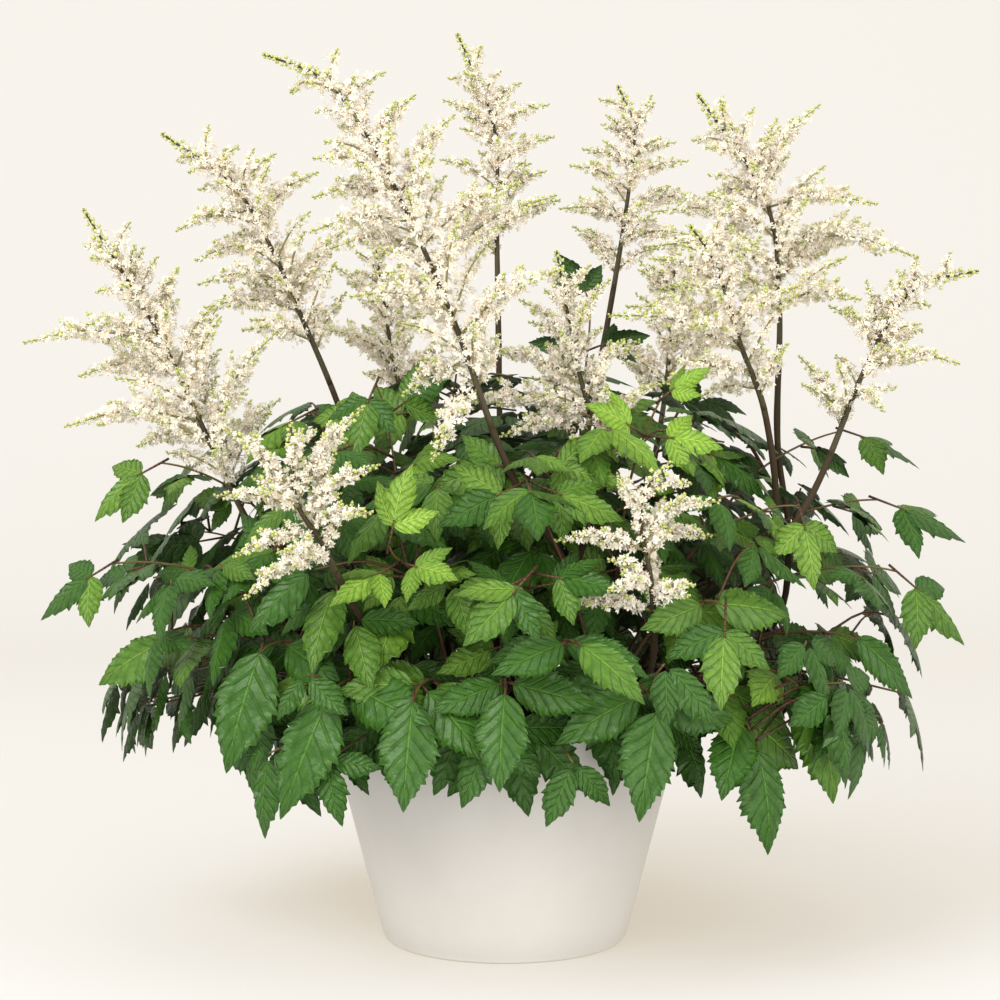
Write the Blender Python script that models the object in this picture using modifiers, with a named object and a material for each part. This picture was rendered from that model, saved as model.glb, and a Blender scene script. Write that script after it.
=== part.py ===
# Potted astilbe in bloom: a round tapered pot, soil, flowering stalks with
# feathery plumes, and compound leaves (fronds) that rise from the soil.
# Everything is in metres, +Z up; the pot stands on z = 0 at the origin.
import math
import random

import bmesh
import bpy
import numpy as np
from mathutils import Matrix, Vector
from mathutils.bvhtree import BVHTree

for thing in list(bpy.data.objects):
    bpy.data.objects.remove(thing, do_unlink=True)

MM = 0.001

# Pot: a plain straight-sided taper with a soft lip and a small base edge
POT_HEIGHT = 0.143
POT_RIM_RADIUS = 0.110
POT_BASE_RADIUS = 0.073
POT_WALL = 0.0032
POT_FLOOR = 0.004
POT_EDGE = 0.0022
POT_STEPS = 36

# Soil
SOIL_TOP = 0.131
SOIL_GAP = 0.0003
SOIL_STEPS = 18
SOIL_ROUGHNESS = 0.0012

# Stems in the soil
HOLE_DEPTH = 0.016
HOLE_GAP = 0.0004
HOLE_SIDES = 5
STEM_EXIT = 0.009
STALK_SIDES = 4
STALK_RADIUS = 0.0029
STALK_TOP_RADIUS = 0.0019
PETIOLE_SIDES = 4
PETIOLE_RINGS = 6
PETIOLE_RADIUS = 0.0017
RACHIS_RADIUS = 0.0011

# Plumes
CORE_SIDES = 4
CORE_RADIUS = 0.0042
CORE_TIP_RADIUS = 0.0012
SPRAY_RADIUS = 0.0062
SPRAY_TIP_RADIUS = 0.0013
SPRAY_SIDES = 3
SPRAY_RELIEF = 0.20
FILL_SPRAYS = 4
PLUME_GAP = 0.0004

# Leaflets
BLADE_THICKNESS = 0.0019
BLADE_WIDTH = 0.56
BLADE_DROOP = 0.22
BLADE_FOLD = 0.16
CLEARANCE = 0.0006

# Flowering stalks in millimetres: the way up from the soil to the tip, the
# height where the plume begins, and its long sprays as (height on the axis,
# tip x, tip y, tip z).
STALKS = {
    "01": ([(-48, -14), (-100, -30, 178), (-146, -35, 245), (-171, -35, 296),
            (-203, -35, 364), (-245, -35, 434)], 252,
           [(350, -275, -60, 356), (335, -254, -5, 337), (308, -253, -55, 308),
            (297, -221, 2, 295), (366, -190, -35, 400), (323, -165, -15, 385),
            (300, -131, -50, 363), (282, -136, 12, 323), (385, -231, -20, 404)]),
    "02": ([(-40, 26), (-65, 45, 198), (-96, 50, 298), (-120, 50, 360),
            (-162, 50, 448), (-212, 50, 487)], 332,
           [(435, -201, 35, 426), (413, -195, 75, 410), (394, -187, 28, 393),
            (377, -188, 64, 380), (428, -116, 60, 464), (381, -91, 38, 432),
            (448, -141, 46, 474), (357, -159, 18, 365), (462, -166, 64, 480),
            (372, -130, 92, 411)]),
    "03": ([(46, -54), (44, -92, 210), (2, -125, 286), (-29, -120, 369),
            (-64, -110, 447), (-96, -105, 496), (-133, -105, 513)], 308,
           [(461, -49, -110, 490), (431, -28, -88, 482), (446, -104, -124, 454),
            (430, -107, -90, 436), (417, -105, -132, 414), (401, -98, -84, 408),
            (401, 8, -134, 440), (387, 28, -104, 436), (368, -83, -142, 379),
            (354, 29, -150, 393), (340, -57, -104, 326), (326, -39, -160, 292),
            (484, -66, -98, 504)]),
    "04": ([(-6, 42), (-3, 100, 258), (-5, 140, 425), (-7, 140, 501),
            (-31, 140, 562)], 398,
           [(493, -40, 128, 517), (512, -27, 152, 529), (512, 11, 142, 530),
            (493, 29, 128, 514), (476, 33, 152, 496), (453, 27, 118, 470),
            (460, -43, 152, 481), (440, -35, 118, 449), (430, 37, 162, 455)]),
    "05": ([(24, 48), (46, 110, 257), (69, 150, 376), (81, 155, 449),
            (86, 155, 501), (75, 155, 530)], 396,
           [(494, 98, 157, 524), (484, 64, 150, 504), (471, 52, 164, 489),
            (458, 43, 142, 476), (478, 114, 160, 493), (464, 121, 143, 479),
            (445, 134, 167, 456), (435, 36, 132, 447), (425, 121, 130, 430)]),
    "06": ([(80, 12), (160, 22, 180), (173, 20, 234), (165, 15, 299),
            (165, 10, 381), (156, 10, 444), (115, 10, 506)], 352,
           [(449, 188, 5, 499), (440, 123, 26, 448), (434, 219, -17, 438),
            (416, 247, 2, 408), (419, 89, 28, 437), (398, 83, -2, 414),
            (377, 206, -40, 381), (383, 96, 52, 391), (446, 165, 24, 493),
            (389, 214, 50, 421)]),
    "07": ([(64, -30), (114, -60, 184), (149, -66, 231), (178, -58, 273),
            (210, -45, 346), (236, -40, 387), (274, -40, 398)], 292,
           [(361, 230, -48, 398), (355, 211, -28, 393), (344, 260, -57, 344),
            (329, 214, -72, 317), (346, 246, -18, 364), (312, 168, -72, 332),
            (352, 191, -18, 378)]),
    "08": ([(-36, -52), (-70, -125, 191), (-87, -165, 229), (-96, -175, 250),
            (-109, -180, 273), (-112, -175, 312)], 234,
           [(272, -147, -172, 310), (270, -73, -185, 321), (263, -65, -192, 291),
            (267, -152, -172, 274), (252, -140, -192, 244), (241, -134, -202, 223),
            (257, -68, -202, 267)]),
    "09": ([(62, -66), (80, -115, 176), (78, -150, 223), (72, -155, 257),
            (74, -155, 276), (88, -155, 291)], 202,
           [(255, 114, -150, 270), (241, 26, -162, 250), (210, 27, -166, 216),
            (223, 53, -186, 225), (218, 99, -172, 227), (245, 112, -128, 250),
            (260, 60, -140, 278)]),
    "10": ([(52, -78, 266), (55, -75, 297), (44, -75, 330), (37, -70, 363),
            (29, -65, 408)], 286,
           [(308, -3, -85, 303), (312, -32, -60, 321), (330, -14, -56, 352),
            (303, 85, -84, 333), (332, 77, -56, 357), (352, 8, -74, 380),
            (360, 60, -60, 392), (297, 30, -104, 288), (297, 76, -104, 288)]),
    "11": ([(72, -8), (132, -14, 200), (156, -42, 248), (149, -63, 312),
            (133, -65, 357), (120, -60, 400), (105, -60, 423)], 318,
           [(346, 58, -82, 371), (358, 70, -46, 377), (386, 82, -62, 404),
            (340, 86, -92, 332), (380, 143, -82, 415), (360, 164, -92, 387),
            (329, 113, -40, 325), (352, 101, -112, 364)]),
    "12": ([(-30, 50), (-45, 90, 215), (-62, 120, 300), (-75, 130, 360),
            (-86, 138, 432)], 308,
           [(340, -130, 150, 372), (352, -40, 160, 392), (330, -90, 178, 352),
            (330, -30, 128, 362), (370, -112, 126, 410), (375, -62, 152, 416)]),
    "13": ([(52, 42), (80, 80, 215), (100, 110, 300), (108, 122, 360),
            (112, 130, 430)], 306,
           [(340, 165, 140, 366), (335, 70, 150, 360), (325, 128, 178, 346),
            (352, 152, 108, 392), (372, 88, 132, 414), (378, 136, 148, 412)]),
}
FORK_PARENT = "03"
FORK_CHILD = "10"
FORK_HEIGHT = 226

# Fronds in millimetres: the end of the leaf stalk, the tip of its end
# leaflet, and how many pairs of side leaflets it carries.
FRONDS = [
    ((-196, -40, 289), (-243, -42, 256), 2),
    ((-222, -62, 232), (-268, -64, 196), 2),
    ((-188, -84, 190), (-236, -78, 160), 2),
    ((-132, -122, 192), (-152, -142, 121), 2),
    ((-92, -158, 172), (-118, -172, 100), 2),
    ((-48, -176, 172), (-53, -202, 112), 2),
    ((0, -182, 176), (-5, -210, 125), 2),
    ((36, -190, 200), (72, -212, 172), 2),
    ((80, -176, 166), (67, -200, 108), 2),
    ((135, -140, 140), (146, -156, 81), 2),
    ((162, -112, 168), (189, -124, 104), 2),
    ((198, -66, 190), (238, -66, 152), 2),
    ((222, -52, 228), (267, -54, 180), 2),
    ((216, -16, 266), (274, -20, 236), 2),
    ((200, 10, 306), (251, 2, 282), 2),
    ((-62, -172, 244), (-50, -170, 292), 2),
    ((16, -180, 238), (-18, -204, 196), 2),
    ((84, -96, 322), (112, -108, 344), 2),
    ((118, -146, 218), (112, -168, 160), 2),
    ((164, -84, 268), (172, -100, 218), 2),
    ((-72, -66, 336), (-86, -96, 292), 2),
    ((56, 96, 380), (38, 84, 418), 2),
    ((-192, 62, 242), (-248, 76, 208), 2),
    ((-128, 136, 226), (-158, 178, 174), 2),
    ((-44, 172, 214), (-56, 214, 154), 2),
    ((42, 176, 222), (52, 222, 164), 2),
    ((120, 146, 214), (148, 188, 160), 2),
    ((190, 84, 240), (240, 102, 200), 2),
    ((-96, 96, 318), (-128, 134, 292), 2),
    ((8, 130, 312), (4, 176, 284), 2),
    ((118, 74, 330), (148, 108, 300), 2),
    ((-110, -30, 318), (-150, -62, 290), 2),
    ((-28, 30, 346), (-40, -10, 336), 2),
]

# Leafy side shoots, one on each leaf stalk, which fill the middle of the
# mound: where they start along the stalk, the shares of its reach at which
# they may end, how far they swing, the height of the mound's top and its fall
# over a metre squared, and how long their leaflets are.
SHOOT_STARTS = (0.52, 0.64, 0.40)
SHOOT_REACHES = (0.45, 0.65, 0.85, 1.05)
SHOOT_SWINGS = (0.0, 0.35, -0.35, 0.7, -0.7)
SHOOT_RISES = (0.25, 0.6, 0.95)
MOUND_TOP = 0.330
MOUND_FALL = 2.3
SHOOT_LEAFLET = 0.062
SHOOT_RINGS = 3


# Plain vector helpers

def unit(v):
    return v / max(float(np.linalg.norm(v)), 1e-12)


def smooth(points, count):
    """Even samples of a soft curve through the points."""
    p = np.array(points, float)
    p = np.vstack([2 * p[0] - p[1], p, 2 * p[-1] - p[-2]])
    spans = len(p) - 3
    u = np.linspace(0, spans, 24 * spans + 1)
    i = np.minimum(u.astype(int), spans - 1)
    f = (u - i)[:, None]
    a, b, c, d = p[i], p[i + 1], p[i + 2], p[i + 3]
    q = 0.5 * (2 * b + (c - a) * f + (2 * a - 5 * b + 4 * c - d) * f ** 2
               + (3 * b - a - 3 * c + d) * f ** 3)
    run = np.concatenate([[0], np.cumsum(np.linalg.norm(np.diff(q, axis=0), axis=1))])
    at = np.linspace(0, run[-1], count)
    return np.stack([np.interp(at, run, q[:, k]) for k in range(3)], axis=1)


def chained(path, count):
    """Even samples of the straight runs of a path."""
    run = np.concatenate([[0], np.cumsum(np.linalg.norm(np.diff(path, axis=0), axis=1))])
    at = np.linspace(0, run[-1], count)
    return np.stack([np.interp(at, run, path[:, k]) for k in range(3)], axis=1)


def tangents(path):
    d = np.gradient(path, axis=0)
    return d / np.maximum(np.linalg.norm(d, axis=1), 1e-12)[:, None]


def frames(path):
    """Tangent, normal and binormal along a path, without twist."""
    t = tangents(path)
    n = np.zeros_like(t)
    start = np.array([1.0, 0.0, 0.0]) if abs(t[0][0]) < 0.8 else np.array([0.0, 1.0, 0.0])
    n[0] = unit(start - t[0] * start.dot(t[0]))
    for i in range(1, len(t)):
        n[i] = unit(n[i - 1] - t[i] * n[i - 1].dot(t[i]))
    return t, n, np.cross(t, n)


def tube(path, radii, sides, relief=0.0, pointed=False):
    """A closed tapering tube; relief makes its corners spiky in turn."""
    t, n, b = frames(path)
    verts = []
    for i in range(len(path)):
        for j in range(sides):
            a = 2 * math.pi * (j + 0.5 * (i % 2) * (relief > 0)) / sides
            r = radii[i] * (1 + relief * (1 if (i + j) % 2 else -1))
            verts.append(path[i] + r * (math.cos(a) * n[i] + math.sin(a) * b[i]))
    faces = []
    rings = len(path)
    for i in range(rings - 1):
        for j in range(sides):
            k = (j + 1) % sides
            lo, hi = i * sides, (i + 1) * sides
            if relief > 0 and i % 2:
                faces.append((lo + j, lo + k, hi + k))
                faces.append((lo + j, hi + k, hi + j))
            else:
                faces.append((lo + j, lo + k, hi + j))
                faces.append((lo + k, hi + k, hi + j))
    faces.append(tuple(range(sides - 1, -1, -1)))
    top = (rings - 1) * sides
    if pointed:
        verts.append(path[-1] + t[-1] * radii[-1])
        for j in range(sides):
            faces.append((top + j, top + (j + 1) % sides, len(verts) - 1))
    else:
        faces.append(tuple(top + j for j in range(sides)))
    return verts, faces


# Growth: where every stem, spray and leaflet runs

class Room:
    """What already stands, so that nothing new runs through it."""

    def __init__(self):
        self.groups = {}

    def add(self, group, mesh):
        verts, faces = mesh
        all_verts, all_faces, _ = self.groups.get(group, ([], [], None))
        shift = len(all_verts)
        all_verts = all_verts + [tuple(v) for v in verts]
        all_faces = all_faces + [tuple(i + shift for i in f) for f in faces]
        tree = BVHTree.FromPolygons(all_verts, all_faces)
        self.groups[group] = (all_verts, all_faces, tree)

    def free(self, mesh, skip=()):
        verts, faces = mesh
        tree = BVHTree.FromPolygons([tuple(v) for v in verts], faces)
        for name, (_, _, other) in self.groups.items():
            if name not in skip and tree.overlap(other):
                return False
        return True


def blade_points(leaf, t, s, lift=0.0):
    """Points of a leaflet: t runs along the rib, s across it."""
    side = np.cross(leaf["normal"], leaf["axis"])
    t = np.asarray(t, float)[:, None]
    s = np.asarray(s, float)[:, None]
    half = 0.5 * leaf["width"]
    drop = leaf["droop"] * leaf["length"] * t ** 2 + leaf["fold"] * half * np.abs(s)
    along = leaf["length"] * t * (1 - 0.35 * leaf["droop"] * t ** 2)
    return (leaf["base"] + leaf["axis"] * along + side * (s * half)
            + leaf["normal"] * (lift - drop))


def blade_width(t):
    """Half width of a leaflet along its rib, 1 at the widest."""
    return (t ** 0.6) * (1 - t) / (0.375 ** 0.6 * 0.625)


BLADE_STATIONS = ((0.16, 1.02), (0.42, 1.10), (0.55, 0.86))


def blade(leaf, grow=0.0):
    """A lens-shaped leaflet with a toothed edge."""
    t = [k for k, _ in BLADE_STATIONS]
    s = [blade_width(np.float64(k)) * f for k, f in BLADE_STATIONS]
    edge_t = [0.0] + t + [1.0] + t[::-1]
    edge_s = [0.0] + s + [0.0] + [-v for v in s[::-1]]
    scale = 1 + grow * 30
    shape = dict(leaf)
    shape["width"] = leaf["width"] * scale
    edge = blade_points(shape, edge_t, edge_s)
    thick = 0.5 * BLADE_THICKNESS + grow
    rib_t = [0.30, 0.66]
    high = blade_points(shape, rib_t, [0, 0], thick)
    low = blade_points(shape, rib_t, [0, 0], -thick)
    count = len(edge_t)
    verts = list(edge) + list(high) + list(low)
    low_rib, high_rib = count, count + 1
    turn = len(t) // 2 + 1
    faces = []
    for lower, flip in ((0, False), (2, True)):
        first, second = low_rib + lower, high_rib + lower
        for i in range(count):
            k = (i + 1) % count
            near = first if (i < turn or i >= count - turn) else second
            faces.append((near, i, k) if flip else (near, k, i))
        left, right = turn, count - turn
        if flip:
            faces.append((first, left, second))
            faces.append((second, right, first))
        else:
            faces.append((first, second, left))
            faces.append((second, first, right))
    return verts, faces


def millimetres(point):
    return np.array(point, float) * MM


def stem_path(foot, stations, count):
    """A stem that leaves the soil straight and then follows its stations."""
    foot = np.array([foot[0] * MM, foot[1] * MM, SOIL_TOP])
    first = millimetres(stations[0])
    lean = unit(first - foot)
    lean = unit(lean + np.array([0, 0, 1.4]))
    low = foot - lean * HOLE_DEPTH
    out = foot + lean * STEM_EXIT
    rest = smooth([out] + [millimetres(s) for s in stations], count - 1)
    return np.vstack([low[None], rest])


def cut_at_height(path, height):
    """Split a path where it passes a height for the first time."""
    for i in range(1, len(path)):
        if path[i][2] >= height:
            f = (height - path[i - 1][2]) / (path[i][2] - path[i - 1][2])
            point = path[i - 1] + (path[i] - path[i - 1]) * f
            return np.vstack([path[:i], point]), np.vstack([point, path[i:]])
    return path, path[-1:]


def grow_stalks():
    """Every stalk path below its plume and every plume axis above it."""
    stalks, axes = {}, {}
    for key, (stations, start, _) in STALKS.items():
        if key == FORK_CHILD:
            continue
        path = stem_path(stations[0], stations[1:], 61)
        stalks[key], axes[key] = cut_at_height(path, start * MM)
    parent = stalks[FORK_PARENT]
    below, _ = cut_at_height(parent, FORK_HEIGHT * MM)
    stations, start, _ = STALKS[FORK_CHILD]
    path = smooth([below[-1]] + [millimetres(s) for s in stations], 41)
    stalks[FORK_CHILD], axes[FORK_CHILD] = cut_at_height(path, start * MM)
    return stalks, axes


def point_at_height(path, height):
    z = path[:, 2]
    i = int(np.argmax(z >= height)) if (z >= height).any() else len(path) - 1
    return path[i], tangents(path)[i]


def spray_path(start, lean, tip, count):
    """A side spray: leaves the axis upwards, arches, runs on to its tip."""
    reach = float(np.linalg.norm(tip - start))
    mid = 0.5 * (start + tip) + 0.10 * reach * unit(lean + np.array([0, 0, 0.6]))
    return smooth([start, mid, tip], count)


def spray_radii(count, size=1.0):
    """Thin where it leaves the axis, full at a quarter, thin at the tip."""
    f = np.linspace(0, 1, count)
    swell = np.clip(f / 0.22, 0, 1)
    body = SPRAY_RADIUS * (1 - f) ** 0.8 + SPRAY_TIP_RADIUS
    return size * (0.0016 * (1 - swell) + body * swell)


def grow_sprays(stalks, axes):
    """Long sprays as read, then short ones all round by a seeded rule."""
    room = Room()
    for key in sorted(axes):
        own = "plume" + key
        count = 9
        path = smooth(list(axes[key][::6]) + [axes[key][-1]], count)
        radii = np.linspace(CORE_RADIUS, CORE_TIP_RADIUS, count)
        room.add(own, tube(path, radii, CORE_SIDES))
        stem = "stalk" + (FORK_PARENT if key == FORK_CHILD else key)
        path = smooth(list(stalks[key][::5]) + [stalks[key][-1]], 12)
        room.add(stem, tube(path, np.full(12, STALK_RADIUS), STALK_SIDES))
    sprays = {key: [] for key in axes}
    for key in sorted(axes):
        for height, x, y, z in STALKS[key][2]:
            start, lean = point_at_height(axes[key], height * MM)
            place_spray(room, sprays, key, start, lean, millimetres((x, y, z)), 4)
    rule = random.Random(41)
    for key in sorted(axes):
        path = axes[key]
        turn = rule.random() * 6.28
        for k in range(FILL_SPRAYS):
            f = (k + 0.7) / (FILL_SPRAYS + 1.0)
            i = int(f * (len(path) - 1))
            turn += 2.4
            reach = (0.046 - 0.026 * f) * rule.uniform(0.85, 1.15)
            _, n, b = frames(path)
            lean = tangents(path)[i]
            out = n[i] * math.cos(turn) + b[i] * math.sin(turn)
            out = unit(out + np.array([0, 0, 0.25]))
            tip = path[i] + reach * unit(out + lean * 0.55)
            place_spray(room, sprays, key, path[i], lean, tip, 4)
    return sprays, room


def place_spray(room, sprays, key, start, lean, tip, count):
    own = "plume" + key
    for size in (1.0, 0.86, 0.72, 0.58, 0.44):
        end = start + (tip - start) * size
        path = spray_path(start, lean, end, count)
        wide = tube(path, spray_radii(count) + CLEARANCE * 1.6, 5, SPRAY_RELIEF)
        if room.free(wide, (own,)):
            solid = tube(path, spray_radii(count), SPRAY_SIDES, SPRAY_RELIEF)
            room.add(own, solid)
            sprays[key].append({"start": start, "lean": lean, "tip": end,
                                "rings": count})
            return True
    return False


def frond_foot(end, taken):
    """The foot of a leaf stalk: on its own side, clear of other stems."""
    azimuth = math.atan2(end[1], end[0])
    for ring in (0.082, 0.072, 0.062, 0.052, 0.090, 0.042, 0.032):
        for swing in (0, 0.14, -0.14, 0.28, -0.28, 0.42, -0.42):
            a = azimuth + swing
            x, y = ring * math.cos(a), ring * math.sin(a)
            if all((x - u) ** 2 + (y - v) ** 2 > 0.0105 ** 2 for u, v in taken):
                yield x, y


def frond_path(foot, end, bow, count):
    """Up out of the pot, over the rim, and out along an arch that may bow."""
    foot3 = np.array([foot[0] / MM, foot[1] / MM, SOIL_TOP / MM])
    goal = np.array(end, float)
    top = max(goal[2], 176.0) + 0.10 * np.linalg.norm(goal[:2] - foot3[:2])
    mid = foot3 + 0.45 * (goal - foot3)
    mid[2] = SOIL_TOP / MM + 0.66 * (top - SOIL_TOP / MM)
    out = unit(np.array([goal[0], goal[1], 0.0]))
    mid = mid + bow * np.array([-out[1], out[0], 0.0])
    near = foot3 + 0.80 * (goal - foot3)
    near[2] = 0.30 * mid[2] + 0.70 * max(goal[2] + 4, 0.5 * (top + goal[2]))
    return stem_path(foot3[:2], [mid, near, goal], count)


def leaf_at(base, axis, up, length, width):
    normal = unit(up - axis * up.dot(axis))
    return {"base": base, "axis": axis, "normal": normal, "length": length,
            "width": width, "droop": BLADE_DROOP, "fold": BLADE_FOLD}


def turned(v, axis, angle):
    c, s = math.cos(angle), math.sin(angle)
    return v * c + np.cross(axis, v) * s + axis * axis.dot(v) * (1 - c)


def grow_fronds(room):
    """Leaf stalks with end and side leaflets, each clear of all the rest."""
    rule = random.Random(7)
    taken = [(s[0][0][0] * MM, s[0][0][1] * MM) for k, s in STALKS.items()
             if k != FORK_CHILD]
    fronds = []
    for index, (end, tip, pairs) in enumerate(FRONDS):
        own = "frond%02d" % (index + 1)
        path = free_frond_path(room, taken, end)
        if path is not None:
            radii = np.linspace(PETIOLE_RADIUS, RACHIS_RADIUS, len(path))
            room.add(own + "stem", tube(path, radii, PETIOLE_SIDES))
            fronds.append({"name": own, "path": path, "tip": tip, "pairs": pairs,
                           "leaves": [], "shoots": []})
    for frond in fronds:
        dress_frond(room, rule, frond)
    for frond in fronds[::2] + fronds[1::2]:
        filled = [leaf["base"] + 0.5 * leaf["length"] * leaf["axis"]
                  for other in fronds for leaf in other["leaves"]]
        shoot = shoot_path(room, frond["name"], chained(frond["path"], 41), filled)
        if shoot is not None:
            room.add(frond["name"] + "stem", tube(shoot, [RACHIS_RADIUS] * len(shoot), 4))
            frond["shoots"].append(shoot)
            dress_shoot(room, rule, frond, shoot)
    return fronds


def free_frond_path(room, taken, end):
    for bow in (0, 10, -10, 20, -20):
        for foot in frond_foot(end, taken):
            trial = frond_path(foot, end, bow, PETIOLE_RINGS)
            wide = tube(trial, [PETIOLE_RADIUS + 0.001] * PETIOLE_RINGS, 5)
            if room.free(wide):
                taken.append(foot)
                return trial
    return None


def dress_frond(room, rule, frond):
    """The end leaflet and the pairs of side leaflets of a leaf stalk."""
    path = frond["path"]
    end = path[-1]
    goal = millimetres(frond["tip"])
    length = float(np.linalg.norm(goal - end)) * 1.04
    outward = unit(np.array([end[0], end[1], 0.0]))
    up = unit(np.array([0, 0, 1.0]) + 0.45 * outward)
    aim = unit(goal - end)
    aim = unit(aim + 0.5 * BLADE_DROOP * up)
    tilt = leaf_at(end - aim * 0.0006, aim, up, length, length * BLADE_WIDTH)
    place_leaf(room, rule, frond, tilt)
    fine = chained(path, 41)
    t = tangents(fine)
    for k in range(frond["pairs"]):
        i = int(40 - 40 * (0.10 + 0.155 * k) * (0.8 + 0.08 * frond["pairs"]))
        for hand in (1, -1):
            level = unit(up - t[i] * up.dot(t[i]))
            angle = hand * rule.uniform(0.85, 1.15)
            axis = turned(t[i], level, angle)
            axis = unit(axis + np.array([0, 0, -0.28]))
            size = length * (0.94 - 0.10 * k) * rule.uniform(0.88, 1.05)
            size = min(max(size, 0.046), 0.078)
            leaf = leaf_at(fine[i], axis, up, size, size * BLADE_WIDTH)
            place_leaf(room, rule, frond, leaf)


def shoot_spots(origin):
    """Where a side shoot may end: nearer or farther out, to either side, and
    at several heights below the mound's top."""
    for reach in SHOOT_REACHES:
        for swing in SHOOT_SWINGS:
            spot = reach * turned(origin * (1.0, 1.0, 0.0), np.array([0, 0, 1.0]), swing)
            top = MOUND_TOP - MOUND_FALL * float(spot @ spot)
            for rise in SHOOT_RISES:
                spot[2] = origin[2] + rise * (top - origin[2])
                if spot[2] > origin[2] + 0.015:
                    yield spot.copy()


def shoot_path(room, own, fine, filled):
    """A side shoot that climbs from the leaf stalk to the emptiest spot near it."""
    for start in SHOOT_STARTS:
        origin = fine[int(start * (len(fine) - 1))]
        spots = sorted(shoot_spots(origin),
                       key=lambda spot: -np.linalg.norm(filled - spot, axis=1).min())
        for spot in spots:
            mid = 0.5 * (origin + spot) + 0.12 * (spot - origin)[2] * np.array([0, 0, 1.0])
            path = smooth([origin, mid, spot], SHOOT_RINGS)
            wide = tube(path, [RACHIS_RADIUS + 0.001] * SHOOT_RINGS, 4)
            if room.free(wide, (own + "stem",)):
                return path
    return None


def dress_shoot(room, rule, frond, path):
    """One end leaflet and a pair on a side shoot, which lean out with the mound."""
    end = path[-1]
    away = min(math.hypot(end[0], end[1]) / 0.10, 1.0)
    outward = unit(np.array([end[0], end[1], 0.0]) + 1e-6)
    up = unit(np.array([0, 0, 1.0]) + (0.2 + 0.75 * away) * outward)
    ahead = turned(outward, np.array([0, 0, 1.0]), rule.uniform(-0.5, 0.5))
    size = SHOOT_LEAFLET * rule.uniform(0.9, 1.12)
    for angle, share in ((0.0, 1.0), (1.15, 0.9), (-1.15, 0.9)):
        level = np.array([0, 0, 0.15 - 0.55 * away])
        axis = unit(turned(ahead, np.array([0, 0, 1.0]), angle) + level)
        base = end - unit(path[-1] - path[-2]) * (0.0007 if angle == 0 else 0.004)
        leaf = leaf_at(base, axis, up, size * share, size * share * BLADE_WIDTH)
        place_leaf(room, rule, frond, leaf)


def place_leaf(room, rule, frond, leaf):
    """The leaflet where it is wanted, or turned or smaller where it is not free."""
    own = frond["name"]
    for size in (1.0, 0.88, 0.76, 0.64):
        for swing, dip, roll in ((0, 0, 0), (0.2, 0, 0.2), (-0.2, 0, -0.2),
                                 (0, 0.25, 0), (0, -0.25, 0), (0.4, 0.2, 0.4),
                                 (-0.4, 0.2, -0.4), (0.3, -0.3, 0), (-0.3, -0.3, 0)):
            trial = dict(leaf)
            side = np.cross(leaf["normal"], leaf["axis"])
            axis = turned(leaf["axis"], leaf["normal"], swing)
            axis = turned(axis, side, dip)
            normal = turned(leaf["normal"], leaf["axis"], roll)
            trial["axis"] = axis
            trial["normal"] = unit(normal - axis * normal.dot(axis))
            trial["length"] = leaf["length"] * size
            trial["width"] = leaf["width"] * size
            if room.free(blade(trial, CLEARANCE), (own + "stem",)):
                room.add(own, blade(trial))
                frond["leaves"].append(trial)
                return True
    return False


# Solids

def collection(name, hidden=False):
    made = bpy.data.collections.new(name)
    bpy.context.scene.collection.children.link(made)
    made.hide_render = hidden
    return made


def material(name, colour, roughness):
    made = bpy.data.materials.new(name)
    made.use_nodes = True
    shader = made.node_tree.nodes["Principled BSDF"]
    shader.inputs["Base Color"].default_value = (*colour, 1)
    shader.inputs["Roughness"].default_value = roughness
    made.diffuse_color = (*colour, 1)
    return made


def mesh_data(name, mesh):
    verts, faces = mesh
    data = bpy.data.meshes.new(name)
    data.from_pydata([tuple(v) for v in verts], [], faces)
    data.update()
    return data


def new_object(name, data, group):
    made = bpy.data.objects.new(name, data)
    group.objects.link(made)
    return made


def stem_data(name, path, radii):
    """A stem: a curve with a tapering round bevel, made a closed mesh."""
    curve = bpy.data.curves.new(name, "CURVE")
    curve.dimensions = "3D"
    curve.bevel_depth = 1.0
    curve.bevel_resolution = 0
    curve.use_fill_caps = True
    line = curve.splines.new("POLY")
    line.points.add(len(path) - 1)
    for point, place, radius in zip(line.points, path, radii):
        point.co = (*place, 1)
        point.radius = radius
    guide = bpy.data.objects.new(name, curve)
    bpy.context.scene.collection.objects.link(guide)
    bpy.context.view_layer.update()
    graph = bpy.context.evaluated_depsgraph_get()
    data = bpy.data.meshes.new_from_object(guide.evaluated_get(graph))
    bpy.data.objects.remove(guide, do_unlink=True)
    bpy.data.curves.remove(curve)
    shape = bmesh.new()
    shape.from_mesh(data)
    bmesh.ops.remove_doubles(shape, verts=shape.verts, dist=0.00001)
    bmesh.ops.recalc_face_normals(shape, faces=shape.faces)
    shape.to_mesh(data)
    shape.free()
    return data


def apply_modifiers(body):
    graph = bpy.context.evaluated_depsgraph_get()
    data = bpy.data.meshes.new_from_object(body.evaluated_get(graph))
    body.modifiers.clear()
    old = body.data
    body.data = data
    bpy.data.meshes.remove(old)


def boolean(body, additions, operation):
    """One Boolean of a body with a group of solids, which then goes."""
    group = collection(body.name + "_tools", True)
    for i, data in enumerate(additions):
        tool = new_object("%s_tool_%02d" % (body.name, i), data, group)
        tool.display_type = "WIRE"
        tool.hide_render = True
    step = body.modifiers.new(operation.lower(), "BOOLEAN")
    step.operation = operation
    step.operand_type = "COLLECTION"
    step.collection = group
    step.solver = "EXACT"
    bpy.context.view_layer.update()
    apply_modifiers(body)
    for tool in list(group.objects):
        bpy.data.objects.remove(tool, do_unlink=True)
    bpy.data.collections.remove(group)


def finish(body, look):
    body.data.materials.clear()
    body.data.materials.append(look)
    for face in body.data.polygons:
        face.use_smooth = False
        face.material_index = 0


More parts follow.
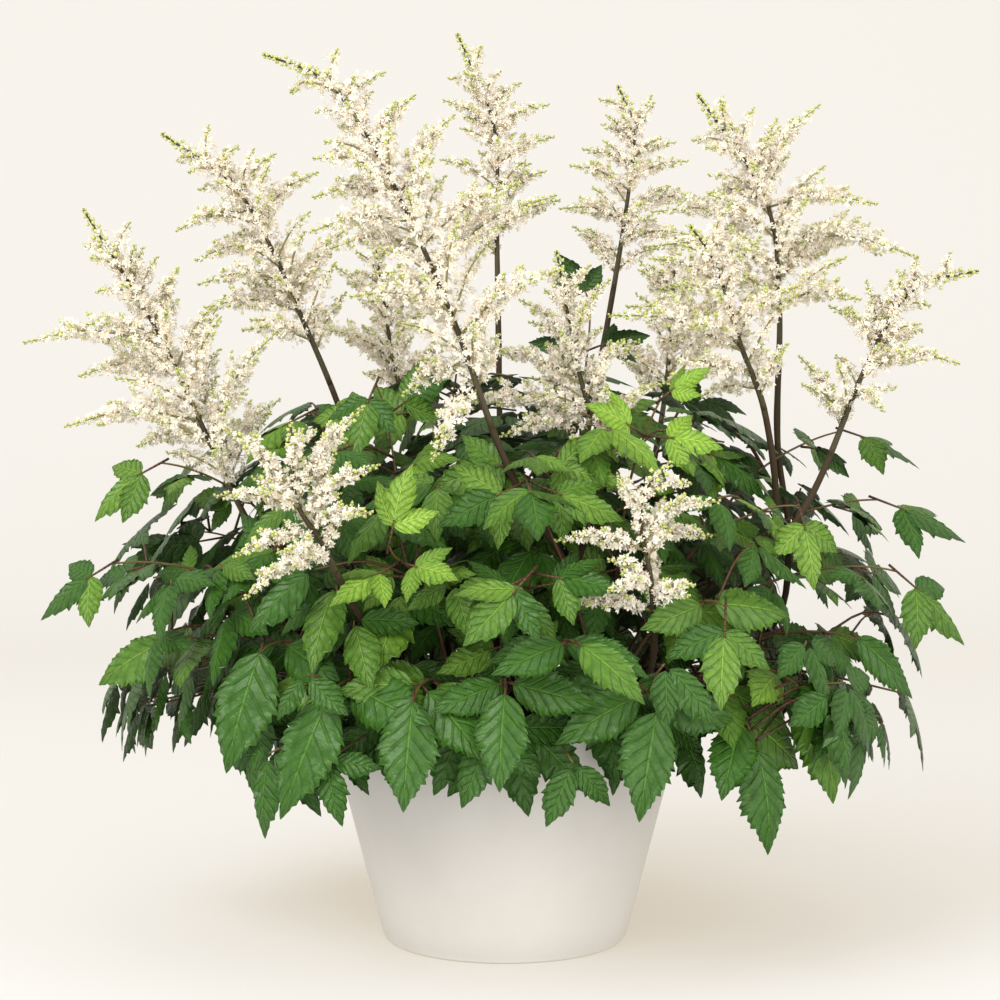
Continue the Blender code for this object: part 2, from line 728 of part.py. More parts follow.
def make_pot(group):
    slope = (POT_RIM_RADIUS - POT_BASE_RADIUS) / POT_HEIGHT
    inner_floor = POT_BASE_RADIUS + slope * POT_FLOOR - POT_WALL
    inner_top = POT_RIM_RADIUS - POT_WALL
    lip = 0.4 * POT_WALL
    profile = [
        (0.0, POT_FLOOR), (inner_floor, POT_FLOOR), (inner_top, POT_HEIGHT - lip),
        (inner_top + 0.5 * lip, POT_HEIGHT), (POT_RIM_RADIUS - 0.5 * lip, POT_HEIGHT),
        (POT_RIM_RADIUS, POT_HEIGHT - lip),
        (POT_BASE_RADIUS + slope * POT_EDGE, POT_EDGE),
        (POT_BASE_RADIUS - 0.3 * POT_EDGE, 0.3 * POT_EDGE),
        (POT_BASE_RADIUS - POT_EDGE, 0.0), (0.0, 0.0)]
    data = bpy.data.meshes.new("pot")
    points = [(x, 0, z) for x, z in profile]
    data.from_pydata(points, [(i, i + 1) for i in range(len(points) - 1)], [])
    pot = bpy.data.objects.new("pot", data)
    group.objects.link(pot)
    turn = pot.modifiers.new("turn", "SCREW")
    turn.axis = "Z"
    turn.angle = 2 * math.pi
    turn.steps = POT_STEPS
    turn.render_steps = POT_STEPS
    turn.use_merge_vertices = True
    turn.merge_threshold = 0.0001
    bpy.context.view_layer.update()
    apply_modifiers(pot)
    finish(pot, material("pot_glaze", (0.83, 0.82, 0.79), 0.4))
    return pot


def make_soil(group, stems):
    """Soil that fills the pot, crumbled on top, with a plain hole per stem."""
    slope = (POT_RIM_RADIUS - POT_BASE_RADIUS) / POT_HEIGHT
    low = POT_FLOOR + SOIL_GAP
    inside = (POT_WALL + SOIL_GAP) * 1.06
    fit = math.cos(math.pi / POT_STEPS)
    bottom = (POT_BASE_RADIUS + slope * low - inside) * fit
    top = (POT_BASE_RADIUS + slope * SOIL_TOP - inside) * fit
    rule = random.Random(3)
    shape = bmesh.new()
    bmesh.ops.create_cone(shape, cap_ends=True, segments=SOIL_STEPS, radius1=bottom,
                          radius2=top, depth=SOIL_TOP - low)
    bmesh.ops.translate(shape, verts=shape.verts, vec=(0, 0, 0.5 * (SOIL_TOP + low)))
    for step in (0.28 * top, 0.36 * top):
        shape.faces.ensure_lookup_table()
        lid = [f for f in shape.faces if f.normal.z > 0.9 and len(f.verts) == SOIL_STEPS]
        bmesh.ops.inset_region(shape, faces=lid, thickness=step)
        for vert in lid[0].verts:
            vert.co.z = SOIL_TOP + rule.uniform(-1, 1) * SOIL_ROUGHNESS
    lid = [f for f in shape.faces if f.normal.z > 0.5 and len(f.verts) == SOIL_STEPS]
    bmesh.ops.poke(shape, faces=lid)
    bmesh.ops.triangulate(shape, faces=[f for f in shape.faces if f.normal.z > 0.5])
    data = bpy.data.meshes.new("soil")
    shape.to_mesh(data)
    shape.free()
    soil = new_object("soil", data, group)
    boolean(soil, [hole_cutter(*stem) for stem in stems], "DIFFERENCE")
    finish(soil, material("soil_dark", (0.05, 0.035, 0.025), 0.95))
    return soil


def hole_cutter(path, radius):
    """A drill for one stem: a cylinder along its foot, a little wider."""
    lean = path[1] - path[0]
    length = float(np.linalg.norm(lean)) + HOLE_GAP
    drill = bmesh.new()
    bmesh.ops.create_cone(drill, cap_ends=True, segments=HOLE_SIDES, depth=length,
                          radius1=(radius + HOLE_GAP) / math.cos(math.pi / HOLE_SIDES),
                          radius2=(radius + HOLE_GAP) / math.cos(math.pi / HOLE_SIDES))
    turn = Vector((0, 0, 1)).rotation_difference(Vector(lean)).to_matrix().to_4x4()
    middle = path[1] - unit(lean) * 0.5 * length
    drill.transform(Matrix.Translation(Vector(middle)) @ turn)
    data = bpy.data.meshes.new("hole")
    drill.to_mesh(data)
    drill.free()
    return data


def thin_path(path, keep, sections):
    """The straight foot of a stem, then evenly spread sections."""
    return np.vstack([path[:keep], smooth(list(path[keep - 1:]), sections)[1:]])


def stalk_solid(stalks, key, sections=6):
    """Solid of a stalk, from its hole up to just below its plume."""
    path = stalks[key].copy()
    trim = PLUME_GAP * unit(path[-1] - path[-2])
    path[-1] = path[-1] - trim
    keep = 1 if key == FORK_CHILD else 2
    path = thin_path(path, keep, sections)
    radii = np.linspace(STALK_RADIUS, STALK_TOP_RADIUS, len(path))
    radii[:keep] = STALK_RADIUS
    if key == FORK_CHILD:
        radii = radii * 0.8
    return path, radii


def make_stalk(group, key, stalks):
    path, radii = stalk_solid(stalks, key)
    body = new_object("stalk_" + key, stem_data("stalk", path, radii), group)
    if key == FORK_PARENT:
        side, thin = stalk_solid(stalks, FORK_CHILD, 5)
        boolean(body, [stem_data("fork", side, thin)], "UNION")
    finish(body, material("stalk_%s_brown" % key, (0.13, 0.075, 0.03), 0.6))
    return body, path


def make_plume(group, key, axis, sprays):
    """The plume of a stalk: axis and sprays in one body."""
    path = smooth(list(axis[::3]) + [axis[-1]], 7)
    path[-1] = path[-1] - 0.0005 * unit(path[-1] - path[-2])
    path[0] = path[0] + PLUME_GAP * unit(path[1] - path[0])
    radii = np.linspace(CORE_RADIUS, CORE_TIP_RADIUS * 1.6, len(path))
    radii[0] = STALK_TOP_RADIUS
    body = new_object("plume_" + key, stem_data("axis", path, radii), group)
    grown = []
    for spray in sprays:
        run = spray_path(spray["start"], spray["lean"], spray["tip"], spray["rings"])
        spiky = tube(run, spray_radii(spray["rings"]), SPRAY_SIDES, SPRAY_RELIEF, True)
        grown.append(mesh_data("spray", spiky))
    boolean(body, grown, "UNION")
    finish(body, material("plume_%s_ivory" % key, (0.86, 0.80, 0.70), 0.85))
    return body


def make_frond(group, frond):
    path = frond["path"]
    radii = np.linspace(PETIOLE_RADIUS, RACHIS_RADIUS, len(path))
    radii[:2] = PETIOLE_RADIUS
    name = frond["name"].replace("frond", "frond_")
    body = new_object(name, stem_data("petiole", path, radii), group)
    grown = [stem_data("shoot", shoot, [RACHIS_RADIUS] * len(shoot))
             for shoot in frond["shoots"]]
    grown += [mesh_data("leaflet", blade(leaf)) for leaf in frond["leaves"]]
    boolean(body, grown, "UNION")
    finish(body, material(name + "_green", (0.07, 0.20, 0.05), 0.5))
    return body


def main():
    group = collection("astilbe")
    make_pot(group)
    stalks, axes = grow_stalks()
    sprays, room = grow_sprays(stalks, axes)
    rim = [(x, y, z) for x, y, z in pot_shell()[0]]
    room.add("pot", (rim, pot_shell()[1]))
    fronds = grow_fronds(room)
    stems = []
    for key in sorted(stalks):
        if key != FORK_CHILD:
            _, path = make_stalk(group, key, stalks)
            stems.append((path, STALK_RADIUS))
    for frond in fronds:
        stems.append((frond["path"], PETIOLE_RADIUS))
    make_soil(group, stems)
    for key in sorted(axes):
        make_plume(group, key, axes[key], sprays[key])
    for frond in fronds:
        make_frond(group, frond)


def pot_shell():
    """The outside of the pot, for keeping leaves off it."""
    verts, faces = [], []
    for radius, z in ((POT_BASE_RADIUS, 0.0), (POT_RIM_RADIUS, POT_HEIGHT),
                      (POT_RIM_RADIUS - POT_WALL, POT_HEIGHT),
                      (POT_RIM_RADIUS - POT_WALL - 0.004, SOIL_TOP - 0.002)):
        for j in range(24):
            a = 2 * math.pi * j / 24
            verts.append(((radius + 0.001) * math.cos(a), (radius + 0.001) * math.sin(a), z))
    for k in range(3):
        for j in range(24):
            n = (j + 1) % 24
            faces.append((k * 24 + j, k * 24 + n, k * 24 + 24 + n, k * 24 + 24 + j))
    return verts, faces


main()
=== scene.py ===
import math
import random

import bpy
import numpy as np
from mathutils.bvhtree import BVHTree
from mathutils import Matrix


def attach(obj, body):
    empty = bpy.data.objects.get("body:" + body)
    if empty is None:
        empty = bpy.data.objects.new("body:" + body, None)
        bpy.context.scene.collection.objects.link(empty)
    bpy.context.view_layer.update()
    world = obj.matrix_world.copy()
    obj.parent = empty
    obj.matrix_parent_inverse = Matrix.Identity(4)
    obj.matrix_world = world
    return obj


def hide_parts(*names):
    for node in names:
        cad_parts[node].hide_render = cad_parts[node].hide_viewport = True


bl_info = {
    "name": "Potted Astilbe",
    "version": (1, 0, 0),
    "blender": (4, 5, 0),
    "location": "View3D > Sidebar > Astilbe",
    "description": "Dresses the packed astilbe with florets, leaves, pot and soil",
    "category": "Object",
}

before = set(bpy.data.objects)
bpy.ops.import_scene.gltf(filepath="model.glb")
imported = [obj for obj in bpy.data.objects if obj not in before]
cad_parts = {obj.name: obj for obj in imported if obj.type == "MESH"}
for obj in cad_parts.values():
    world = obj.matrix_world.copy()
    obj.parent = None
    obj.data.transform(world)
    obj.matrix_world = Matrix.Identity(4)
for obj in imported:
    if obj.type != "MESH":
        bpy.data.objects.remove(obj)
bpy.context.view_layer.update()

MM = 0.001
UP = np.array([0.0, 0.0, 1.0])

# Sizes are in metres. Those of the growth are the solids' own, so that every
# stem, spray and leaflet grows in the same place.

# Pot: a plain straight-sided taper with a soft lip and a small base edge
POT_HEIGHT = 0.143
POT_RIM_RADIUS = 0.110
POT_BASE_RADIUS = 0.073
POT_WALL = 0.0032
POT_FLOOR = 0.004
POT_EDGE = 0.0022

# Soil: its top, the waves on it (height and waves a metre), the gap to the
# pot's wall, and how far down it is drawn
SOIL_TOP = 0.131
SOIL_ROUGHNESS = 0.0012
SOIL_WAVES = (130, 210, 340, 560, 910)
SOIL_PLAY = 0.0004
SOIL_SHOWN = 0.02

# Stems: how deep they stand and how far they leave the soil straight, then
# sides, rings and radii of stalks and leaf stalks
HOLE_DEPTH = 0.016
STEM_EXIT = 0.009
STALK_SIDES = 4
STALK_RADIUS = 0.0029
STALK_TOP_RADIUS = 0.0019
PETIOLE_SIDES = 4
PETIOLE_RINGS = 6
PETIOLE_RADIUS = 0.0017
RACHIS_RADIUS = 0.0011

# Plumes: the middle core, its side sprays and the shares of their length that
# are tried in turn, and how many short sprays fill each plume
CORE_SIDES = 4
CORE_RADIUS = 0.0042
CORE_TIP_RADIUS = 0.0012
SPRAY_RADIUS = 0.0062
SPRAY_TIP_RADIUS = 0.0013
SPRAY_SIDES = 3
SPRAY_RINGS = 4
SPRAY_RELIEF = 0.20
SPRAY_TRIALS = (1.0, 0.86, 0.72, 0.58, 0.44)
FILL_SPRAYS = 4

# Leaflets: thickness, width and fold as shares, and the room kept round them
BLADE_THICKNESS = 0.0019
BLADE_WIDTH = 0.56
BLADE_DROOP = 0.22
BLADE_FOLD = 0.16
SHORTEST_LEAFLET = 0.046
LONGEST_LEAFLET = 0.078
CLEARANCE = 0.0006

# What is tried in turn where something already stands: shares of a leaflet's
# length, its turns as (swing, dip, roll), how far a leaf stalk bows and how
# high it must arch over the lip, both in millimetres, and where its foot stands
LEAF_TRIALS = (1.0, 0.88, 0.76, 0.64)
LEAF_TURNS = ((0, 0, 0), (0.2, 0, 0.2), (-0.2, 0, -0.2), (0, 0.25, 0), (0, -0.25, 0),
              (0.4, 0.2, 0.4), (-0.4, 0.2, -0.4), (0.3, -0.3, 0), (-0.3, -0.3, 0))
STALK_BOWS = (0, 10, -10, 20, -20)
LOWEST_ARCH = 176.0
FOOT_RINGS = (0.082, 0.072, 0.062, 0.052, 0.090, 0.042, 0.032)
FOOT_SWINGS = (0, 0.14, -0.14, 0.28, -0.28, 0.42, -0.42)
FEET_APART = 0.0105

# Flowering stalks in millimetres: the way up from the soil to the tip, the
# height where the plume begins, and its long sprays as (height on the axis,
# tip x, tip y, tip z).
STALKS = {
    "01": ([(-48, -14), (-100, -30, 178), (-146, -35, 245), (-171, -35, 296),
            (-203, -35, 364), (-245, -35, 434)], 252,
           [(350, -275, -60, 356), (335, -254, -5, 337), (308, -253, -55, 308),
            (297, -221, 2, 295), (366, -190, -35, 400), (323, -165, -15, 385),
            (300, -131, -50, 363), (282, -136, 12, 323), (385, -231, -20, 404)]),
    "02": ([(-40, 26), (-65, 45, 198), (-96, 50, 298), (-120, 50, 360),
            (-162, 50, 448), (-212, 50, 487)], 332,
           [(435, -201, 35, 426), (413, -195, 75, 410), (394, -187, 28, 393),
            (377, -188, 64, 380), (428, -116, 60, 464), (381, -91, 38, 432),
            (448, -141, 46, 474), (357, -159, 18, 365), (462, -166, 64, 480),
            (372, -130, 92, 411)]),
    "03": ([(46, -54), (44, -92, 210), (2, -125, 286), (-29, -120, 369),
            (-64, -110, 447), (-96, -105, 496), (-133, -105, 513)], 308,
           [(461, -49, -110, 490), (431, -28, -88, 482), (446, -104, -124, 454),
            (430, -107, -90, 436), (417, -105, -132, 414), (401, -98, -84, 408),
            (401, 8, -134, 440), (387, 28, -104, 436), (368, -83, -142, 379),
            (354, 29, -150, 393), (340, -57, -104, 326), (326, -39, -160, 292),
            (484, -66, -98, 504)]),
    "04": ([(-6, 42), (-3, 100, 258), (-5, 140, 425), (-7, 140, 501),
            (-31, 140, 562)], 398,
           [(493, -40, 128, 517), (512, -27, 152, 529), (512, 11, 142, 530),
            (493, 29, 128, 514), (476, 33, 152, 496), (453, 27, 118, 470),
            (460, -43, 152, 481), (440, -35, 118, 449), (430, 37, 162, 455)]),
    "05": ([(24, 48), (46, 110, 257), (69, 150, 376), (81, 155, 449),
            (86, 155, 501), (75, 155, 530)], 396,
           [(494, 98, 157, 524), (484, 64, 150, 504), (471, 52, 164, 489),
            (458, 43, 142, 476), (478, 114, 160, 493), (464, 121, 143, 479),
            (445, 134, 167, 456), (435, 36, 132, 447), (425, 121, 130, 430)]),
    "06": ([(80, 12), (160, 22, 180), (173, 20, 234), (165, 15, 299),
            (165, 10, 381), (156, 10, 444), (115, 10, 506)], 352,
           [(449, 188, 5, 499), (440, 123, 26, 448), (434, 219, -17, 438),
            (416, 247, 2, 408), (419, 89, 28, 437), (398, 83, -2, 414),
            (377, 206, -40, 381), (383, 96, 52, 391), (446, 165, 24, 493),
            (389, 214, 50, 421)]),
    "07": ([(64, -30), (114, -60, 184), (149, -66, 231), (178, -58, 273),
            (210, -45, 346), (236, -40, 387), (274, -40, 398)], 292,
           [(361, 230, -48, 398), (355, 211, -28, 393), (344, 260, -57, 344),
            (329, 214, -72, 317), (346, 246, -18, 364), (312, 168, -72, 332),
            (352, 191, -18, 378)]),
    "08": ([(-36, -52), (-70, -125, 191), (-87, -165, 229), (-96, -175, 250),
            (-109, -180, 273), (-112, -175, 312)], 234,
           [(272, -147, -172, 310), (270, -73, -185, 321), (263, -65, -192, 291),
            (267, -152, -172, 274), (252, -140, -192, 244), (241, -134, -202, 223),
            (257, -68, -202, 267)]),
    "09": ([(62, -66), (80, -115, 176), (78, -150, 223), (72, -155, 257),
            (74, -155, 276), (88, -155, 291)], 202,
           [(255, 114, -150, 270), (241, 26, -162, 250), (210, 27, -166, 216),
            (223, 53, -186, 225), (218, 99, -172, 227), (245, 112, -128, 250),
            (260, 60, -140, 278)]),
    "10": ([(52, -78, 266), (55, -75, 297), (44, -75, 330), (37, -70, 363),
            (29, -65, 408)], 286,
           [(308, -3, -85, 303), (312, -32, -60, 321), (330, -14, -56, 352),
            (303, 85, -84, 333), (332, 77, -56, 357), (352, 8, -74, 380),
            (360, 60, -60, 392), (297, 30, -104, 288), (297, 76, -104, 288)]),
    "11": ([(72, -8), (132, -14, 200), (156, -42, 248), (149, -63, 312),
            (133, -65, 357), (120, -60, 400), (105, -60, 423)], 318,
           [(346, 58, -82, 371), (358, 70, -46, 377), (386, 82, -62, 404),
            (340, 86, -92, 332), (380, 143, -82, 415), (360, 164, -92, 387),
            (329, 113, -40, 325), (352, 101, -112, 364)]),
    "12": ([(-30, 50), (-45, 90, 215), (-62, 120, 300), (-75, 130, 360),
            (-86, 138, 432)], 308,
           [(340, -130, 150, 372), (352, -40, 160, 392), (330, -90, 178, 352),
            (330, -30, 128, 362), (370, -112, 126, 410), (375, -62, 152, 416)]),
    "13": ([(52, 42), (80, 80, 215), (100, 110, 300), (108, 122, 360),
            (112, 130, 430)], 306,
           [(340, 165, 140, 366), (335, 70, 150, 360), (325, 128, 178, 346),
            (352, 152, 108, 392), (372, 88, 132, 414), (378, 136, 148, 412)]),
}
FORK_PARENT = "03"
FORK_CHILD = "10"
FORK_HEIGHT = 226

# Fronds in millimetres: the end of the leaf stalk, the tip of its end
# leaflet, and how many pairs of side leaflets it carries.
FRONDS = [
    ((-196, -40, 289), (-243, -42, 256), 2),
    ((-222, -62, 232), (-268, -64, 196), 2),
    ((-188, -84, 190), (-236, -78, 160), 2),
    ((-132, -122, 192), (-152, -142, 121), 2),
    ((-92, -158, 172), (-118, -172, 100), 2),
    ((-48, -176, 172), (-53, -202, 112), 2),
    ((0, -182, 176), (-5, -210, 125), 2),
    ((36, -190, 200), (72, -212, 172), 2),
    ((80, -176, 166), (67, -200, 108), 2),
    ((135, -140, 140), (146, -156, 81), 2),
    ((162, -112, 168), (189, -124, 104), 2),
    ((198, -66, 190), (238, -66, 152), 2),
    ((222, -52, 228), (267, -54, 180), 2),
    ((216, -16, 266), (274, -20, 236), 2),
    ((200, 10, 306), (251, 2, 282), 2),
    ((-62, -172, 244), (-50, -170, 292), 2),
    ((16, -180, 238), (-18, -204, 196), 2),
    ((84, -96, 322), (112, -108, 344), 2),
    ((118, -146, 218), (112, -168, 160), 2),
    ((164, -84, 268), (172, -100, 218), 2),
    ((-72, -66, 336), (-86, -96, 292), 2),
    ((56, 96, 380), (38, 84, 418), 2),
    ((-192, 62, 242), (-248, 76, 208), 2),
    ((-128, 136, 226), (-158, 178, 174), 2),
    ((-44, 172, 214), (-56, 214, 154), 2),
    ((42, 176, 222), (52, 222, 164), 2),
    ((120, 146, 214), (148, 188, 160), 2),
    ((190, 84, 240), (240, 102, 200), 2),
    ((-96, 96, 318), (-128, 134, 292), 2),
    ((8, 130, 312), (4, 176, 284), 2),
    ((118, 74, 330), (148, 108, 300), 2),
    ((-110, -30, 318), (-150, -62, 290), 2),
    ((-28, 30, 346), (-40, -10, 336), 2),
]

# Leafy side shoots, one on each leaf stalk, which fill the middle of the
# mound: where they start along the stalk, the shares of its reach at which
# they may end, how far they swing, the height of the mound's top and its fall
# over a metre squared, and how long their leaflets are.
SHOOT_STARTS = (0.52, 0.64, 0.40)
SHOOT_REACHES = (0.45, 0.65, 0.85, 1.05)
SHOOT_SWINGS = (0.0, 0.35, -0.35, 0.7, -0.7)
SHOOT_RISES = (0.25, 0.6, 0.95)
MOUND_TOP = 0.330
MOUND_FALL = 2.3
SHOOT_LEAFLET = 0.062
SHOOT_RINGS = 3

# Stems as drawn: radii from one end to the other, and how much slimmer than
# the solids a stalk and the fork are
STALK_SLIM = 0.66
FORK_SLIM = 0.56
AXIS_RADII = (0.0019, 0.0006)
SPRAY_RADII = (0.0008, 0.00035)
TWIG_RADII = (0.0004, 0.00025)
LEAF_STALK_RADII = (0.0014, 0.0006)
SHOOT_RADII = (0.0009, 0.0006)
STALKLET_RADII = (0.0008, 0.0006)

# The map of a piece: its name, where it begins and ends along v, and how its
# width is shared out. Leaves have a band for each green, then the underside
# and the stalks; blooms have a place for each part.
MAP_NAME = "OFBake"
MAP_ENDS = (0.01, 0.99)
TONES = 8
UNDER_TONE = 6
PETIOLE_TONE = 7
STALK_TONE = (PETIOLE_TONE + 0.5) / TONES
TWIG_TONE = 0.86
SPRAY_TONE = 0.92
AXIS_TONE = 0.98

# Edge and face of a leaflet: how far each row of a tooth reaches out and
# forward, the teeth and the points across of large and small ones, where
# teeth begin, a slow wave along the edge, quilted fields, and how much a
# leaflet may bend, curl, twist and sway
TOOTH_REACH = (-0.07, 0.05, -0.01, 0.15)
TOOTH_PUSH = (-0.6, 0.6, 0.2, 1.2)
LARGE_GRID = (7, 5)
SMALL_GRID = (4, 3)
TOOTH_START = 0.06
TOOTH_FADE = 0.14
EDGE_WAVE = 0.035
EDGE_WAVE_TEETH = 2.3
BLADE_SKIN = 0.0005
BLADE_SLIM = 0.86
TIP_SLIM = 0.30
QUILT_DEPTH = 0.013
QUILT_FIELDS = 4.5
QUILT_LEAN = 0.35
BEND_RANGE = (0.7, 1.5)
BEND_SHORTENS = 0.35
CURL_RANGE = (-0.05, 0.30)
TWIST = 0.3
SWAY = 0.09

# Florets and the sprays that carry them: petals, the plume heights below
# which short sprays and full width are missing, the share of a spray that
# carries twigs, where its florets begin to be young, and the share with buds
PETALS = 5
PETAL_HALF = 0.20
PETAL_WAIST = 0.58
GOLDEN_ANGLE = 2.39996
FULL_TURN = 6.28
BARE_HEIGHT = 0.055
FULL_HEIGHT = 0.19
NEIGHBOUR_ROWS = 9.0
LONG_SPRAY = 0.045
BRANCHLET_SHARE = 0.26
TWIGS_END = 0.88
TWIGS_SHOWN = 8
YOUNG_FROM = 0.66
BUD_SHARE = 0.34
AXIS_PLUMPER = 1.4

# Leaflets of the fronds: how near a shoot's end, how young or how high one is
# that gives way to three small ones, where those begin and how they spread,
# and how strongly faces turn outwards
SHOOT_NEAR = 0.006
YOUNG_TONE = 4
SMALL_ABOVE = 0.215
THREE_AT = 0.34
SIDE_ANGLE = 0.95
STALKLET = 0.09
HANG = 1.15
FRONT_SHARE = 0.03

# Tones of the leaves, from the height and the distance from the middle: tone
# at the middle height and radius, rise with height and fall with radius over
# a metre, and its scatter
TONE_MIDDLE = 0.6
TONE_RISE = 7.0
TONE_HEIGHT = 0.20
TONE_FALL = 4.0
TONE_RADIUS = 0.12
TONE_SHARE = 0.8
TONE_SCATTER = 0.9

# Places of young bright leaves: the spot, how many tones brighter, the spread
YOUNG_SPOTS = [((-0.06, -0.17, 0.25), 4.0, 0.05), ((0.085, -0.095, 0.32), 4.5, 0.05),
               ((0.15, -0.10, 0.25), 1.5, 0.07)]

# Small leaves between the fronds: the mound's half sizes and middle height,
# the sines of their heights on it, and each three as (angle, share of length)
INNER_PIECES = 6
# Tones by which the inner leaves are drawn darker: painted shade inside the mound
INNER_PAINTED_SHADE_TONES = 1.6
INNER_LENGTH = (0.031, 0.050)
INNER_THREE = ((0, 1.0), (1.15, 0.82), (-1.15, 0.82))
MOUND_SIZE = (0.245, 0.185, 0.185)
MOUND_MIDDLE = 0.165
MOUND_SINES = (-0.20, 1.0)

# Finishes: steps from old to young green, the paler underside, tints of the rib
# and of painted shade in the sunken veins (also the darker mottle), side veins,
# and the colours that no user property holds
TONE_STEPS = (0.0, 0.20, 0.38, 0.57, 0.78, 1.0)
UNDER_PALER = np.array([0.045, 0.06, 0.035])
RIB_TINT = (1.75, 1.55, 1.5)
VEIN_SHADE_AND_PATCH_TINT = (0.66, 0.74, 0.66)
RIB_SPAN = (0.075, 0.015)
VEIN_LEAN = 0.24
VEIN_PAIRS = 7.0
PETIOLE_COLOURS = [(0.0, (0.035, 0.020, 0.010)), (0.55, (0.080, 0.034, 0.015)),
                   (1.0, (0.105, 0.075, 0.022))]
HEART_SHARE = 0.62
TWIG_COLOUR = (0.40, 0.41, 0.17)
SPRAY_COLOUR = (0.22, 0.20, 0.075)
AXIS_COLOUR = (0.040, 0.030, 0.010)
BARK_FOOT = (0.018, 0.010, 0.006)
BARK_TOP = (0.034, 0.022, 0.009)
MOTTLE_FINER = 5.0
MOTTLE_BROAD = 0.65

# Seeds of the random draws, one for each kind of thing that grows
SPRAY_SEED = 41
FROND_SEED = 7
PLUME_SEED = 100
LEAF_SEED = 500
BLADE_SEED = 900
INNER_SEED = 77

# Camera and lights: the photo's frame and focal length in pixels
FRAME_PIXELS = 1000.0
FOCAL_PIXELS = 2230.0
SENSOR_WIDTH = 36.0
CAMERA_SIDE = -0.003
SKY_COLOUR = (1.0, 0.985, 0.955, 1)
LAMP_COLOUR = (1.0, 0.975, 0.94)
LAMP_AIM = np.array([0, 0, 0.25])


# Plain vector helpers

def unit(v):
    """A vector divided by its length."""
    return v / max(float(np.linalg.norm(v)), 1e-12)


def resampled(path, count):
    """Even samples of a path by its length."""
    run = np.concatenate([[0], np.cumsum(np.linalg.norm(np.diff(path, axis=0), axis=1))])
    at = np.linspace(0, run[-1], count)
    return np.stack([np.interp(at, run, path[:, k]) for k in range(3)], axis=1)


def smooth(points, count):
    """Even samples of a soft curve through the points."""
    p = np.array(points, float)
    p = np.vstack([2 * p[0] - p[1], p, 2 * p[-1] - p[-2]])
    spans = len(p) - 3
    u = np.linspace(0, spans, 24 * spans + 1)
    i = np.minimum(u.astype(int), spans - 1)
    f = (u - i)[:, None]
    a, b, c, d = p[i], p[i + 1], p[i + 2], p[i + 3]
    q = 0.5 * (2 * b + (c - a) * f + (2 * a - 5 * b + 4 * c - d) * f ** 2
               + (3 * b - a - 3 * c + d) * f ** 3)
    return resampled(q, count)


def tangents(path):
    """Unit vectors along a path."""
    d = np.gradient(path, axis=0)
    return d / np.maximum(np.linalg.norm(d, axis=1), 1e-12)[:, None]


def frames(path):
    """Tangent, normal and binormal along a path, without twist."""
    t = tangents(path)
    n = np.zeros_like(t)
    start = np.array([1.0, 0.0, 0.0]) if abs(t[0][0]) < 0.8 else np.array([0.0, 1.0, 0.0])
    n[0] = unit(start - t[0] * start.dot(t[0]))
    for i in range(1, len(t)):
        n[i] = unit(n[i - 1] - t[i] * n[i - 1].dot(t[i]))
    return t, n, np.cross(t, n)


def tube(path, radii, sides, relief=0.0):
    """A closed tapering tube; relief makes its corners spiky in turn."""
    _, n, b = frames(path)
    verts = []
    for i in range(len(path)):
        for j in range(sides):
            a = 2 * math.pi * (j + 0.5 * (i % 2) * (relief > 0)) / sides
            r = radii[i] * (1 + relief * (1 if (i + j) % 2 else -1))
            verts.append(path[i] + r * (math.cos(a) * n[i] + math.sin(a) * b[i]))
    faces = []
    rings = len(path)
    for i in range(rings - 1):
        for j in range(sides):
            k = (j + 1) % sides
            lo, hi = i * sides, (i + 1) * sides
            if relief > 0 and i % 2:
                faces.append((lo + j, lo + k, hi + k))
                faces.append((lo + j, hi + k, hi + j))
            else:
                faces.append((lo + j, lo + k, hi + j))
                faces.append((lo + k, hi + k, hi + j))
    faces.append(tuple(range(sides - 1, -1, -1)))
    top = (rings - 1) * sides
    faces.append(tuple(top + j for j in range(sides)))
    return verts, faces


# Growth: where every stem, spray and leaflet runs

class Room:
    """What already stands, so that nothing new runs through it."""

    def __init__(self):
        self.groups = {}

    def add(self, group, mesh):
        """Joins a mesh to what stands under a group's name."""
        verts, faces = mesh
        all_verts, all_faces, _ = self.groups.get(group, ([], [], None))
        shift = len(all_verts)
        all_verts = all_verts + [tuple(v) for v in verts]
        all_faces = all_faces + [tuple(i + shift for i in f) for f in faces]
        tree = BVHTree.FromPolygons(all_verts, all_faces)
        self.groups[group] = (all_verts, all_faces, tree)

    def free(self, mesh, skip=()):
        """Whether a mesh crosses nothing that stands, leaving out some groups."""
        verts, faces = mesh
        tree = BVHTree.FromPolygons([tuple(v) for v in verts], faces)
        for name, (_, _, other) in self.groups.items():
            if name not in skip and tree.overlap(other):
                return False
        return True


def blade_points(leaf, t, s, lift=0.0):
    """Points of a leaflet: t runs along the rib, s across it."""
    side = np.cross(leaf["normal"], leaf["axis"])
    t = np.asarray(t, float)[:, None]
    s = np.asarray(s, float)[:, None]
    half = 0.5 * leaf["width"]
    drop = leaf["droop"] * leaf["length"] * t ** 2 + leaf["fold"] * half * np.abs(s)
    along = leaf["length"] * t * (1 - 0.35 * leaf["droop"] * t ** 2)
    return (leaf["base"] + leaf["axis"] * along + side * (s * half)
            + leaf["normal"] * (lift - drop))


def blade_width(t):
    """Half width of a leaflet along its rib, 1 at the widest."""
    return (t ** 0.6) * (1 - t) / (0.375 ** 0.6 * 0.625)


BLADE_STATIONS = ((0.16, 1.02), (0.42, 1.10), (0.55, 0.86))


